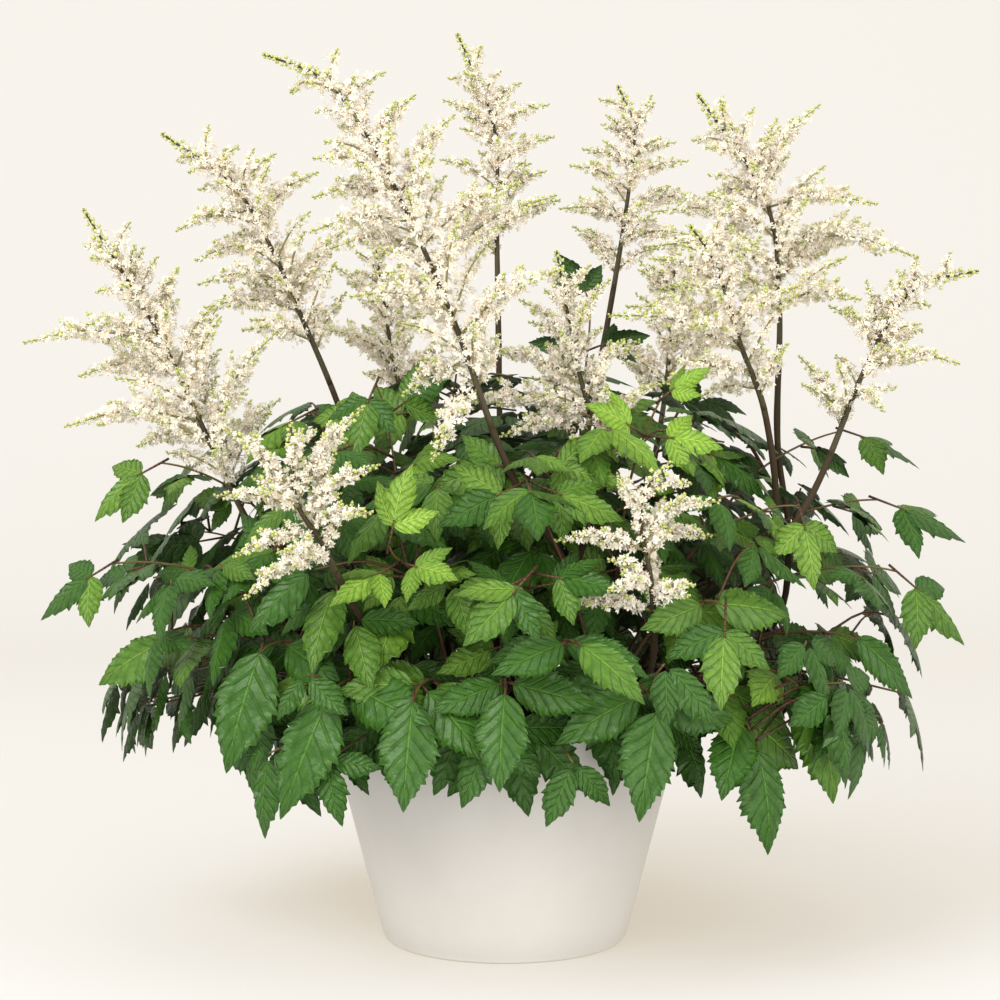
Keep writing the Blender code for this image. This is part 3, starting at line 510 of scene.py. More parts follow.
def blade(leaf, grow=0.0):
    """The solids' own leaflet, lens-shaped with few teeth, to keep room for it."""
    t = [k for k, _ in BLADE_STATIONS]
    s = [blade_width(np.float64(k)) * f for k, f in BLADE_STATIONS]
    edge_t = [0.0] + t + [1.0] + t[::-1]
    edge_s = [0.0] + s + [0.0] + [-v for v in s[::-1]]
    scale = 1 + grow * 30
    shape = dict(leaf)
    shape["width"] = leaf["width"] * scale
    edge = blade_points(shape, edge_t, edge_s)
    thick = 0.5 * BLADE_THICKNESS + grow
    rib_t = [0.30, 0.66]
    high = blade_points(shape, rib_t, [0, 0], thick)
    low = blade_points(shape, rib_t, [0, 0], -thick)
    count = len(edge_t)
    verts = list(edge) + list(high) + list(low)
    low_rib, high_rib = count, count + 1
    turn = len(t) // 2 + 1
    faces = []
    for lower, flip in ((0, False), (2, True)):
        first, second = low_rib + lower, high_rib + lower
        for i in range(count):
            k = (i + 1) % count
            near = first if (i < turn or i >= count - turn) else second
            faces.append((near, i, k) if flip else (near, k, i))
        left, right = turn, count - turn
        if flip:
            faces.append((first, left, second))
            faces.append((second, right, first))
        else:
            faces.append((first, second, left))
            faces.append((second, first, right))
    return verts, faces


def millimetres(point):
    """A point given in millimetres, in metres."""
    return np.array(point, float) * MM


def stem_path(foot, stations, count):
    """A stem that leaves the soil straight and then follows its stations."""
    foot = np.array([foot[0] * MM, foot[1] * MM, SOIL_TOP])
    first = millimetres(stations[0])
    lean = unit(first - foot)
    lean = unit(lean + 1.4 * UP)
    low = foot - lean * HOLE_DEPTH
    out = foot + lean * STEM_EXIT
    rest = smooth([out] + [millimetres(s) for s in stations], count - 1)
    return np.vstack([low[None], rest])


def cut_at_height(path, height):
    """Split a path where it passes a height for the first time."""
    for i in range(1, len(path)):
        if path[i][2] >= height:
            f = (height - path[i - 1][2]) / (path[i][2] - path[i - 1][2])
            point = path[i - 1] + (path[i] - path[i - 1]) * f
            return np.vstack([path[:i], point]), np.vstack([point, path[i:]])
    return path, path[-1:]


def grow_stalks():
    """Every stalk path below its plume and every plume axis above it."""
    stalks, axes = {}, {}
    for key, (stations, start, _) in STALKS.items():
        if key == FORK_CHILD:
            continue
        path = stem_path(stations[0], stations[1:], 61)
        stalks[key], axes[key] = cut_at_height(path, start * MM)
    parent = stalks[FORK_PARENT]
    below, _ = cut_at_height(parent, FORK_HEIGHT * MM)
    stations, start, _ = STALKS[FORK_CHILD]
    path = smooth([below[-1]] + [millimetres(s) for s in stations], 41)
    stalks[FORK_CHILD], axes[FORK_CHILD] = cut_at_height(path, start * MM)
    return stalks, axes


def point_at_height(path, height):
    """The first point of a path at or above a height, and its tangent there."""
    z = path[:, 2]
    i = int(np.argmax(z >= height)) if (z >= height).any() else len(path) - 1
    return path[i], tangents(path)[i]


def spray_path(start, lean, tip, count):
    """A side spray: leaves the axis upwards, arches, runs on to its tip."""
    reach = float(np.linalg.norm(tip - start))
    mid = 0.5 * (start + tip) + 0.10 * reach * unit(lean + 0.6 * UP)
    return smooth([start, mid, tip], count)


def spray_radii(count):
    """Thin where it leaves the axis, full at a quarter, thin at the tip."""
    f = np.linspace(0, 1, count)
    swell = np.clip(f / 0.22, 0, 1)
    body = SPRAY_RADIUS * (1 - f) ** 0.8 + SPRAY_TIP_RADIUS
    return 0.0016 * (1 - swell) + body * swell


def grow_sprays(stalks, axes):
    """Long sprays as read, then short ones all round by a seeded rule."""
    room = Room()
    for key in sorted(axes):
        own = "plume" + key
        path = smooth(list(axes[key][::6]) + [axes[key][-1]], 9)
        radii = np.linspace(CORE_RADIUS, CORE_TIP_RADIUS, 9)
        room.add(own, tube(path, radii, CORE_SIDES))
        stem = "stalk" + (FORK_PARENT if key == FORK_CHILD else key)
        path = smooth(list(stalks[key][::5]) + [stalks[key][-1]], 12)
        room.add(stem, tube(path, np.full(12, STALK_RADIUS), STALK_SIDES))
    sprays = {key: [] for key in axes}
    for key in sorted(axes):
        for height, x, y, z in STALKS[key][2]:
            start, lean = point_at_height(axes[key], height * MM)
            place_spray(room, sprays, key, start, lean, millimetres((x, y, z)))
    rule = random.Random(SPRAY_SEED)
    for key in sorted(axes):
        path = axes[key]
        turn = rule.random() * 6.28
        for k in range(FILL_SPRAYS):
            f = (k + 0.7) / (FILL_SPRAYS + 1.0)
            i = int(f * (len(path) - 1))
            turn += 2.4
            reach = (0.046 - 0.026 * f) * rule.uniform(0.85, 1.15)
            _, n, b = frames(path)
            lean = tangents(path)[i]
            out = n[i] * math.cos(turn) + b[i] * math.sin(turn)
            out = unit(out + 0.25 * UP)
            tip = path[i] + reach * unit(out + lean * 0.55)
            place_spray(room, sprays, key, path[i], lean, tip)
    return sprays, room


def place_spray(room, sprays, key, start, lean, tip):
    """The spray as long as it is wanted, or shorter where it is not free."""
    own = "plume" + key
    count = SPRAY_RINGS
    for size in SPRAY_TRIALS:
        end = start + (tip - start) * size
        path = spray_path(start, lean, end, count)
        wide = tube(path, spray_radii(count) + CLEARANCE * 1.6, 5, SPRAY_RELIEF)
        if room.free(wide, (own,)):
            solid = tube(path, spray_radii(count), SPRAY_SIDES, SPRAY_RELIEF)
            room.add(own, solid)
            sprays[key].append({"start": start, "lean": lean, "tip": end})
            return


def frond_foot(end, taken):
    """The foot of a leaf stalk: on its own side, clear of other stems."""
    azimuth = math.atan2(end[1], end[0])
    for ring in FOOT_RINGS:
        for swing in FOOT_SWINGS:
            a = azimuth + swing
            x, y = ring * math.cos(a), ring * math.sin(a)
            if all((x - u) ** 2 + (y - v) ** 2 > FEET_APART ** 2 for u, v in taken):
                yield x, y


def frond_path(foot, end, bow, count):
    """Up out of the pot, over the rim, and out along an arch that may bow."""
    foot3 = np.array([foot[0] / MM, foot[1] / MM, SOIL_TOP / MM])
    goal = np.array(end, float)
    top = max(goal[2], LOWEST_ARCH) + 0.10 * np.linalg.norm(goal[:2] - foot3[:2])
    mid = foot3 + 0.45 * (goal - foot3)
    mid[2] = SOIL_TOP / MM + 0.66 * (top - SOIL_TOP / MM)
    out = unit(np.array([goal[0], goal[1], 0.0]))
    mid = mid + bow * np.array([-out[1], out[0], 0.0])
    near = foot3 + 0.80 * (goal - foot3)
    near[2] = 0.30 * mid[2] + 0.70 * max(goal[2] + 4, 0.5 * (top + goal[2]))
    return stem_path(foot3[:2], [mid, near, goal], count)


def leaf_at(base, axis, up, length, width):
    """A leaflet from its base along the axis, its face turned to up."""
    normal = unit(up - axis * up.dot(axis))
    return {"base": base, "axis": axis, "normal": normal, "length": length,
            "width": width, "droop": BLADE_DROOP, "fold": BLADE_FOLD}


def turned(v, axis, angle):
    """A vector turned about an axis."""
    c, s = math.cos(angle), math.sin(angle)
    return v * c + np.cross(axis, v) * s + axis * axis.dot(v) * (1 - c)


def grow_fronds(room):
    """Leaf stalks with end and side leaflets, each clear of all the rest."""
    rule = random.Random(FROND_SEED)
    taken = [(s[0][0][0] * MM, s[0][0][1] * MM) for k, s in STALKS.items()
             if k != FORK_CHILD]
    fronds = []
    for index, (end, tip, pairs) in enumerate(FRONDS):
        own = "frond%02d" % (index + 1)
        path = free_frond_path(room, taken, end)
        if path is not None:
            radii = np.linspace(PETIOLE_RADIUS, RACHIS_RADIUS, len(path))
            room.add(own + "stem", tube(path, radii, PETIOLE_SIDES))
            fronds.append({"name": own, "path": path, "tip": tip, "pairs": pairs,
                           "leaves": [], "shoots": []})
    for frond in fronds:
        dress_frond(room, rule, frond)
    for frond in fronds[::2] + fronds[1::2]:
        filled = [leaf["base"] + 0.5 * leaf["length"] * leaf["axis"]
                  for other in fronds for leaf in other["leaves"]]
        shoot = shoot_path(room, frond["name"], resampled(frond["path"], 41), filled)
        if shoot is not None:
            room.add(frond["name"] + "stem", tube(shoot, [RACHIS_RADIUS] * len(shoot), 4))
            frond["shoots"].append(shoot)
            dress_shoot(room, rule, frond, shoot)
    return fronds


def free_frond_path(room, taken, end):
    """The first leaf stalk to this end that runs clear of all the rest."""
    for bow in STALK_BOWS:
        for foot in frond_foot(end, taken):
            trial = frond_path(foot, end, bow, PETIOLE_RINGS)
            wide = tube(trial, [PETIOLE_RADIUS + 0.001] * PETIOLE_RINGS, 5)
            if room.free(wide):
                taken.append(foot)
                return trial
    return None


def dress_frond(room, rule, frond):
    """The end leaflet and the pairs of side leaflets of a leaf stalk."""
    path = frond["path"]
    end = path[-1]
    goal = millimetres(frond["tip"])
    length = float(np.linalg.norm(goal - end)) * 1.04
    outward = unit(np.array([end[0], end[1], 0.0]))
    up = unit(UP + 0.45 * outward)
    aim = unit(goal - end)
    aim = unit(aim + 0.5 * BLADE_DROOP * up)
    tilt = leaf_at(end - aim * 0.0006, aim, up, length, length * BLADE_WIDTH)
    place_leaf(room, frond, tilt)
    fine = resampled(path, 41)
    t = tangents(fine)
    for k in range(frond["pairs"]):
        i = int(40 - 40 * (0.10 + 0.155 * k) * (0.8 + 0.08 * frond["pairs"]))
        for hand in (1, -1):
            level = unit(up - t[i] * up.dot(t[i]))
            angle = hand * rule.uniform(0.85, 1.15)
            axis = turned(t[i], level, angle)
            axis = unit(axis - 0.28 * UP)
            size = length * (0.94 - 0.10 * k) * rule.uniform(0.88, 1.05)
            size = min(max(size, SHORTEST_LEAFLET), LONGEST_LEAFLET)
            leaf = leaf_at(fine[i], axis, up, size, size * BLADE_WIDTH)
            place_leaf(room, frond, leaf)


def shoot_spots(origin):
    """Where a side shoot may end: nearer or farther out, to either side, and
    at several heights below the mound's top."""
    for reach in SHOOT_REACHES:
        for swing in SHOOT_SWINGS:
            spot = reach * turned(origin * (1.0, 1.0, 0.0), UP, swing)
            top = MOUND_TOP - MOUND_FALL * float(spot @ spot)
            for rise in SHOOT_RISES:
                spot[2] = origin[2] + rise * (top - origin[2])
                if spot[2] > origin[2] + 0.015:
                    yield spot.copy()


def shoot_path(room, own, fine, filled):
    """A side shoot that climbs from the leaf stalk to the emptiest spot near it."""
    for start in SHOOT_STARTS:
        origin = fine[int(start * (len(fine) - 1))]
        spots = sorted(shoot_spots(origin),
                       key=lambda spot: -np.linalg.norm(filled - spot, axis=1).min())
        for spot in spots:
            mid = 0.5 * (origin + spot) + 0.12 * (spot - origin)[2] * UP
            path = smooth([origin, mid, spot], SHOOT_RINGS)
            wide = tube(path, [RACHIS_RADIUS + 0.001] * SHOOT_RINGS, 4)
            if room.free(wide, (own + "stem",)):
                return path
    return None


def dress_shoot(room, rule, frond, path):
    """One end leaflet and a pair on a side shoot, which lean out with the mound."""
    end = path[-1]
    away = min(math.hypot(end[0], end[1]) / 0.10, 1.0)
    outward = unit(np.array([end[0], end[1], 0.0]) + 1e-6)
    up = unit(UP + (0.2 + 0.75 * away) * outward)
    ahead = turned(outward, UP, rule.uniform(-0.5, 0.5))
    size = SHOOT_LEAFLET * rule.uniform(0.9, 1.12)
    for angle, share in ((0.0, 1.0), (1.15, 0.9), (-1.15, 0.9)):
        axis = unit(turned(ahead, UP, angle) + (0.15 - 0.55 * away) * UP)
        base = end - unit(path[-1] - path[-2]) * (0.0007 if angle == 0 else 0.004)
        leaf = leaf_at(base, axis, up, size * share, size * share * BLADE_WIDTH)
        place_leaf(room, frond, leaf)


def place_leaf(room, frond, leaf):
    """The leaflet where it is wanted, or turned or smaller where it is not free."""
    own = frond["name"]
    for size in LEAF_TRIALS:
        for swing, dip, roll in LEAF_TURNS:
            trial = dict(leaf)
            side = np.cross(leaf["normal"], leaf["axis"])
            axis = turned(leaf["axis"], leaf["normal"], swing)
            axis = turned(axis, side, dip)
            normal = turned(leaf["normal"], leaf["axis"], roll)
            trial["axis"] = axis
            trial["normal"] = unit(normal - axis * normal.dot(axis))
            trial["length"] = leaf["length"] * size
            trial["width"] = leaf["width"] * size
            if room.free(blade(trial, CLEARANCE), (own + "stem",)):
                room.add(own, blade(trial))
                frond["leaves"].append(trial)
                return


def pot_shell():
    """The outside of the pot, for keeping leaves off it."""
    verts, faces = [], []
    for radius, z in ((POT_BASE_RADIUS, 0.0), (POT_RIM_RADIUS, POT_HEIGHT),
                      (POT_RIM_RADIUS - POT_WALL, POT_HEIGHT),
                      (POT_RIM_RADIUS - POT_WALL - 0.004, SOIL_TOP - 0.002)):
        for j in range(24):
            a = 2 * math.pi * j / 24
            verts.append(((radius + 0.001) * math.cos(a), (radius + 0.001) * math.sin(a), z))
    for k in range(3):
        for j in range(24):
            n = (j + 1) % 24
            faces.append((k * 24 + j, k * 24 + n, k * 24 + 24 + n, k * 24 + 24 + j))
    return verts, faces


# Surfaces as whole arrays

def unit_rows(v):
    """Vectors of any array, each divided by its length."""
    return v / np.maximum(np.linalg.norm(v, axis=-1, keepdims=True), 1e-12)


def side_of(t):
    """A vector square to each t: the world axis least along t, less its part along t."""
    rest = np.eye(3)[np.argmin(np.abs(t), axis=-1)]
    return unit_rows(rest - t * np.sum(rest * t, axis=-1, keepdims=True))


def around(t, turn):
    """Unit vectors square to each t, turned about it by the given angles."""
    a = side_of(t)
    return np.cos(turn)[:, None] * a + np.sin(turn)[:, None] * np.cross(t, a)


def quads_of(rows, cols, wrap=False):
    """Corner numbers of a grid of rows by cols points; wrap joins last to first."""
    i = np.arange(rows - 1)[:, None]
    j = np.arange(cols if wrap else cols - 1)[None, :]
    k = (j + 1) % cols
    lo, hi = i * cols, (i + 1) * cols
    return np.stack([lo + j, lo + k, hi + k, hi + j], axis=-1).reshape(-1, 4)


def copies_of(faces, count, step):
    """The same faces for each of count copies whose points lie step apart."""
    return (faces[None] + step * np.arange(count)[:, None, None]).reshape(-1, faces.shape[1])


def map_rows(u, v, count, step):
    """Map places of count copies of step points, u by copy and v by point."""
    u = np.broadcast_to(u, (count, step))
    return np.stack([u, np.broadcast_to(v, (count, step))], axis=-1).reshape(-1, 2)


def eased(line, rounds):
    """A path whose corners are rounded: each inner point moves, again and
    again, halfway to the middle of its neighbours."""
    line = line.copy()
    for _ in range(rounds):
        line[1:-1] = 0.25 * line[:-2] + 0.5 * line[1:-1] + 0.25 * line[2:]
    return line


def swept_tubes(paths, ends, sides, tone, swell=1.0):
    """Tubes: each point is the path point plus radius times a circle in the
    plane square to the path, closed by a pole at both ends. The radius runs
    evenly from one end to the other, times the swell. The map runs along the
    tube in v, and u is the tone."""
    n, m, _ = paths.shape
    t = unit_rows(np.gradient(paths, axis=1))
    mean = unit_rows(t.mean(axis=1))
    ref = np.broadcast_to(side_of(mean)[:, None], t.shape)
    a = unit_rows(ref - t * np.sum(ref * t, axis=-1, keepdims=True))
    b = np.cross(t, a)
    turn = 2 * math.pi * np.arange(sides) / sides
    ring = np.cos(turn)[:, None] * a[:, :, None] + np.sin(turn)[:, None] * b[:, :, None]
    radii = np.linspace(*ends, m) * swell
    points = (paths[:, :, None] + radii[:, None, None] * ring).reshape(n, m * sides, 3)
    poles = np.stack([paths[:, 0], paths[:, -1]], axis=1)
    step = m * sides + 2
    j = np.arange(sides)
    k = (j + 1) % sides
    low = np.stack([k, j, np.full(sides, m * sides)], axis=-1)
    top = (m - 1) * sides
    high = np.stack([top + j, top + k, np.full(sides, m * sides + 1)], axis=-1)
    along = np.linspace(*MAP_ENDS, m)
    v = np.concatenate([np.repeat(along, sides), MAP_ENDS])
    return {"verts": np.concatenate([points, poles], axis=1).reshape(-1, 3),
            "quads": copies_of(quads_of(m, sides, True), n, step),
            "tris": copies_of(np.concatenate([low, high]), n, step),
            "uv": map_rows(tone, v, n, step), "smooth": True}


def leaf_blades(leaves, tones, teeth, cols, seed):
    """Leaflets: the point at t along the rib and s across it is the leaf's
    own frame times (t, s times the leaf width, minus droop and fold). The
    saw edge has four rows a tooth: notch, small tip, notch, large tip, each
    tip pushed forward. A second skin lies just below the first."""
    rng = np.random.default_rng(seed)
    n = len(leaves)
    base, axis, up, size, wide = (
        np.array([leaf[key] for leaf in leaves])[:, None, None]
        for key in ("base", "axis", "normal", "length", "width"))
    side = np.cross(up, axis)
    rows = teeth * len(TOOTH_REACH) + 1
    t = np.linspace(0, 1, rows)[None, :, None]
    s = np.linspace(-1, 1, cols)[None, None, :]
    phase = np.arange(rows) % len(TOOTH_REACH)
    grown = np.clip((t - TOOTH_START) / TOOTH_FADE, 0, 1)
    tooth = np.take(TOOTH_REACH, phase)[None, :, None] * grown
    push = np.take(TOOTH_PUSH, phase)[None, :, None] * grown
    edge = np.abs(s) ** 4
    start = rng.uniform(0, 1, (n, 1, 1))
    wave = EDGE_WAVE * np.sin(2 * math.pi * (t * teeth / EDGE_WAVE_TEETH + start))
    slim = BLADE_SLIM * (1 - TIP_SLIM * np.clip((t - 0.45) / 0.4, 0, 1) ** 1.5)
    reach = slim * blade_width(t) * (1 + (tooth + wave) * edge)
    at = np.clip(t + push * edge * (1 - t) / rows, 0, 1)
    half = 0.5 * wide
    x = s * reach
    bend = rng.uniform(*BEND_RANGE, (n, 1, 1))
    curl = rng.uniform(*CURL_RANGE, (n, 1, 1))
    drop = BLADE_DROOP * bend * size * at ** 2 + BLADE_FOLD * half * np.abs(x)
    turns = QUILT_FIELDS * at - QUILT_LEAN * np.abs(x)
    quilt = QUILT_DEPTH * size * np.abs(x) * np.sin(2 * math.pi * turns)
    twist = rng.uniform(-TWIST, TWIST, (n, 1, 1)) * half * x * at
    sway = rng.uniform(-SWAY, SWAY, (n, 1, 1)) * size * at ** 2
    along = size * at * (1 - BEND_SHORTENS * BLADE_DROOP * at ** 2)
    lift = quilt - drop + twist - curl * half * x ** 2
    top = (base + axis * along[..., None] + side * (x * half + sway)[..., None]
           + up * lift[..., None])
    thick = BLADE_SKIN * (1 - 0.9 * np.abs(s)) * np.minimum(1, 12 * t * (1 - t))
    under = top - up * np.broadcast_to(thick, lift.shape)[..., None]
    u = 0.5 + 0.49 * np.broadcast_to(s, lift.shape)
    v = np.broadcast_to(at * (MAP_ENDS[1] - MAP_ENDS[0]) + MAP_ENDS[0], lift.shape)
    tone = np.asarray(tones, float).reshape(n, 1, 1)
    uv = np.stack([np.stack([(shade + u) / TONES, v], axis=-1)
                   for shade in (tone, UNDER_TONE)], axis=1)
    grid = quads_of(rows, cols)
    step = rows * cols
    faces = np.concatenate([grid[:, ::-1], grid + step, edge_strip(rows, cols, step)])
    return {"verts": np.stack([top, under], axis=1).reshape(-1, 3),
            "quads": copies_of(faces, n, 2 * step), "uv": uv.reshape(-1, 2),
            "smooth": True}


def edge_strip(rows, cols, step):
    """Faces that close the two skins of a leaflet along both sides."""
    i = np.arange(rows - 1) * cols
    j = i + cols
    left = np.stack([i, j, j + step, i + step], -1)
    return np.concatenate([left, left[:, [1, 0, 3, 2]] + cols - 1])


def florets(centres, facing, radius, tone, seed):
    """Open florets: kite petals, each folded along its middle, turned about
    the floret's axis by equal shares of a circle and joined in the middle.
    u is the tone, v runs from the middle to the petal tips."""
    rng = np.random.default_rng(seed)
    n = len(centres)
    each = np.arange(PETALS)
    a = side_of(facing)
    b = np.cross(facing, a)
    angle = rng.uniform(0, 2 * math.pi, (n, 1)) + 2 * math.pi * each / PETALS
    angle = angle + rng.normal(0, 0.2, (n, PETALS))
    spread = rng.uniform(0.55, 1.0, (n, 1)) + rng.normal(0, 0.08, (n, PETALS))
    out = np.cos(angle)[..., None] * a[:, None] + np.sin(angle)[..., None] * b[:, None]
    across = np.cross(facing[:, None], out)
    r = (radius[:, None] * rng.uniform(0.85, 1.15, (n, PETALS)))[..., None]
    spread = spread[..., None]
    high = facing[:, None] * r
    tip = centres[:, None] + out * r * spread + high * (0.95 - 0.75 * spread)
    waist = (centres[:, None] + out * r * PETAL_WAIST * spread
             + high * (0.50 - 0.32 * spread))
    left = waist + across * r * PETAL_HALF
    right = waist - across * r * PETAL_HALF
    count = 3 * PETALS
    petals = np.stack([left, tip, right], axis=2).reshape(n, count, 3)
    k = 3 * each
    middle = np.full(PETALS, count)
    tris = np.concatenate([np.stack([middle, k + 1, k], axis=-1),
                           np.stack([middle, k + 2, k + 1], axis=-1)])
    v = np.array([0.62, 0.97, 0.62] * PETALS + [0.03])
    return {"verts": np.concatenate([petals, centres[:, None]], axis=1).reshape(-1, 3),
            "tris": copies_of(tris, n, count + 1),
            "uv": map_rows(tone[:, None], v, n, count + 1), "smooth": False}


def buds(centres, facing, radius, tone):
    """Closed buds: octahedra drawn out along the way they face."""
    n = len(centres)
    a = side_of(facing)
    b = np.cross(facing, a)
    ends = [facing * 1.35, a, b, -a, -b, -facing * 0.9]
    verts = np.stack([centres + e * radius[:, None] for e in ends], axis=1)
    j = np.arange(4)
    k = (j + 1) % 4
    ring = np.concatenate([np.stack([0 * j, 1 + j, 1 + k], axis=-1),
                           np.stack([0 * j + 5, 1 + k, 1 + j], axis=-1)])
    v = np.array([0.95, 0.5, 0.5, 0.5, 0.5, 0.05])
    return {"verts": verts.reshape(-1, 3), "tris": copies_of(ring, n, 6),
            "uv": map_rows(tone[:, None], v, n, 6), "smooth": True}


def turned_profile(profile, steps):
    """A turned shape: each profile point (r, z) goes round the Z axis. The
    first and last points lie on it, and the profile runs from the upper one
    outwards and down to the lower one."""
    r, z = np.array(profile, float).T
    a = 2 * math.pi * np.arange(steps) / steps
    ring = np.stack([r[1:-1, None] * np.cos(a), r[1:-1, None] * np.sin(a),
                     np.broadcast_to(z[1:-1, None], (len(r) - 2, steps))], axis=-1)
    rows = len(r) - 2
    verts = np.concatenate([ring.reshape(-1, 3), [[0, 0, z[0]], [0, 0, z[-1]]]])
    j = np.arange(steps)
    k = (j + 1) % steps
    first = np.stack([j, k, np.full(steps, rows * steps)], axis=-1)
    top = (rows - 1) * steps
    last = np.stack([top + k, top + j, np.full(steps, rows * steps + 1)], axis=-1)
    return {"verts": verts, "quads": quads_of(rows, steps, True)[:, ::-1],
            "tris": np.concatenate([first, last]), "uv": np.zeros((len(verts), 2)),
            "smooth": True}


def mesh_piece(name, parts, look, nodes):
    """One object from several arrays of points and faces, at the origin."""
    verts, loops, starts, uvs, smooth = [], [], [], [], []
    shift, at = 0, 0
    for part in parts:
        for key, size in (("quads", 4), ("tris", 3)):
            faces = part.get(key)
            if faces is None:
                continue
            loops.append((faces + shift).reshape(-1))
            starts.append(at + size * np.arange(len(faces)))
            uvs.append(part["uv"][faces.reshape(-1)])
            smooth.append(np.full(len(faces), part["smooth"]))
            at += size * len(faces)
        verts.append(part["verts"])
        shift += len(part["verts"])
    verts, loops, starts = (np.concatenate(rows) for rows in (verts, loops, starts))
    data = bpy.data.meshes.new(name)
    data.vertices.add(len(verts))
    data.vertices.foreach_set("co", verts.astype(np.float32).reshape(-1))
    data.loops.add(len(loops))
    data.loops.foreach_set("vertex_index", loops.astype(np.int32))
    data.polygons.add(len(starts))
    data.polygons.foreach_set("loop_start", starts.astype(np.int32))
    data.update(calc_edges=True)
    data.polygons.foreach_set("use_smooth", np.concatenate(smooth))
    layer = data.uv_layers.new(name=MAP_NAME)
    layer.data.foreach_set("uv", np.concatenate(uvs).astype(np.float32).reshape(-1))
    data.materials.append(look)
    data.validate()
    data.update()
    made = bpy.data.objects.new(name, data)
    bpy.context.scene.collection.objects.link(made)
    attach(made, "root")
    if nodes:
        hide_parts(*nodes)


# Finishes

class Nodes:
    """Adds and joins the nodes of one tree."""

    def __init__(self, tree):
        self.tree = tree

    def add(self, kind):
        return self.tree.nodes.new("ShaderNode" + kind)

    def join(self, source, target):
        """Links an output to an input."""
        self.tree.links.new(source, target)

    def put(self, value, socket):
        """A number, a colour or another node's output into a socket."""
        if isinstance(value, (int, float)):
            socket.default_value = value
        elif isinstance(value, tuple):
            socket.default_value = (*value, 1)
        else:
            self.join(value, socket)

    def sum(self, operation, a, b=0.0):
        """One step of arithmetic."""
        node = self.add("Math")
        node.operation = operation
        self.put(a, node.inputs[0])
        self.put(b, node.inputs[1])
        return node.outputs[0]

    def times(self, a, b):
        return self.sum("MULTIPLY", a, b)

    def plus(self, a, b):
        return self.sum("ADD", a, b)

    def minus(self, a, b):
        return self.sum("SUBTRACT", a, b)

    def ramp(self, factor, stops, constant=False):
        """A colour by a value, from stops of (place, colour)."""
        node = self.add("ValToRGB")
        ramp = node.color_ramp
        ramp.interpolation = "CONSTANT" if constant else "LINEAR"
        while len(ramp.elements) < len(stops):
            ramp.elements.new(0.5)
        for element, (place, colour) in zip(ramp.elements, stops):
            element.position = place
            element.color = (*colour, 1)
        self.join(factor, node.inputs[0])
        return node.outputs[0]

    def mix(self, factor, a, b, blend="MIX"):
        """Two colours, mixed by a factor."""
        node = self.add("Mix")
        node.data_type = "RGBA"
        node.blend_type = blend
        for value, place in ((factor, 0), (a, 6), (b, 7)):
            self.put(value, node.inputs[place])
        return node.outputs[2]

    def span(self, value, low, high, to_low=0.0, to_high=1.0):
        """A value carried softly from one span to another."""
        node = self.add("MapRange")
        node.interpolation_type = "SMOOTHSTEP"
        for place, amount in enumerate((value, low, high, to_low, to_high)):
            self.put(amount, node.inputs[place])
        return node.outputs[0]

    def noise(self, vector, scale, detail, rough=0.5):
        node = self.add("TexNoise")
        for key, value in (("Vector", vector), ("Scale", scale), ("Detail", detail),
                           ("Roughness", rough)):
            self.put(value, node.inputs[key])
        return node.outputs[0]

    def stretched(self, vector, scale):
        node = self.add("Mapping")
        node.inputs["Scale"].default_value = scale
        self.join(vector, node.inputs["Vector"])
        return node.outputs[0]

    def bump(self, height, strength, distance):
        node = self.add("Bump")
        node.inputs["Strength"].default_value = strength
        node.inputs["Distance"].default_value = distance
        self.join(height, node.inputs["Height"])
        return node.outputs[0]

    def own_map(self):
        """The piece's own map, and its two coordinates."""
        node = self.add("UVMap")
        node.uv_map = MAP_NAME
        parts = self.add("SeparateXYZ")
        self.join(node.outputs[0], parts.inputs[0])
        return node.outputs[0], parts.outputs[0], parts.outputs[1]

    def mottle(self, vector, scale):
        """The shared mottling at a scale."""
        node = self.add("Group")
        node.node_tree = mottle_group()
        self.join(vector, node.inputs["Vector"])
        node.inputs["Scale"].default_value = scale
        return node.outputs["Value"]


def plain_look(name, roughness, specular):
    """A material, its node helper and its shader's sockets."""
    look = bpy.data.materials.new(name)
    look.use_nodes = True
    sockets = look.node_tree.nodes["Principled BSDF"].inputs
    sockets["Roughness"].default_value = roughness
    sockets["Specular IOR Level"].default_value = specular
    return look, Nodes(look.node_tree), sockets


def mottle_group():
    """Fine mottling that leaves, stems, pot and soil share: two noises of
    one vector, put together as a value near one half."""
    name = "astilbe_mottle"
    tree = bpy.data.node_groups.get(name)
    if tree:
        return tree
    tree = bpy.data.node_groups.new(name, "ShaderNodeTree")
    face = tree.interface
    face.new_socket("Vector", in_out="INPUT", socket_type="NodeSocketVector")
    face.new_socket("Scale", in_out="INPUT", socket_type="NodeSocketFloat")
    face.new_socket("Value", in_out="OUTPUT", socket_type="NodeSocketFloat")
    n = Nodes(tree)
    vector, scale = tree.nodes.new("NodeGroupInput").outputs[:2]
    broad = n.noise(vector, scale, 2.0)
    fine = n.noise(vector, n.times(scale, MOTTLE_FINER), 4.0)
    both = n.plus(n.times(broad, MOTTLE_BROAD), n.times(fine, 1 - MOTTLE_BROAD))
    n.join(both, tree.nodes.new("NodeGroupOutput").inputs["Value"])
    return tree


def tinted(colour, amount):
    """A colour made brighter or darker."""
    return tuple(amount * c for c in colour)


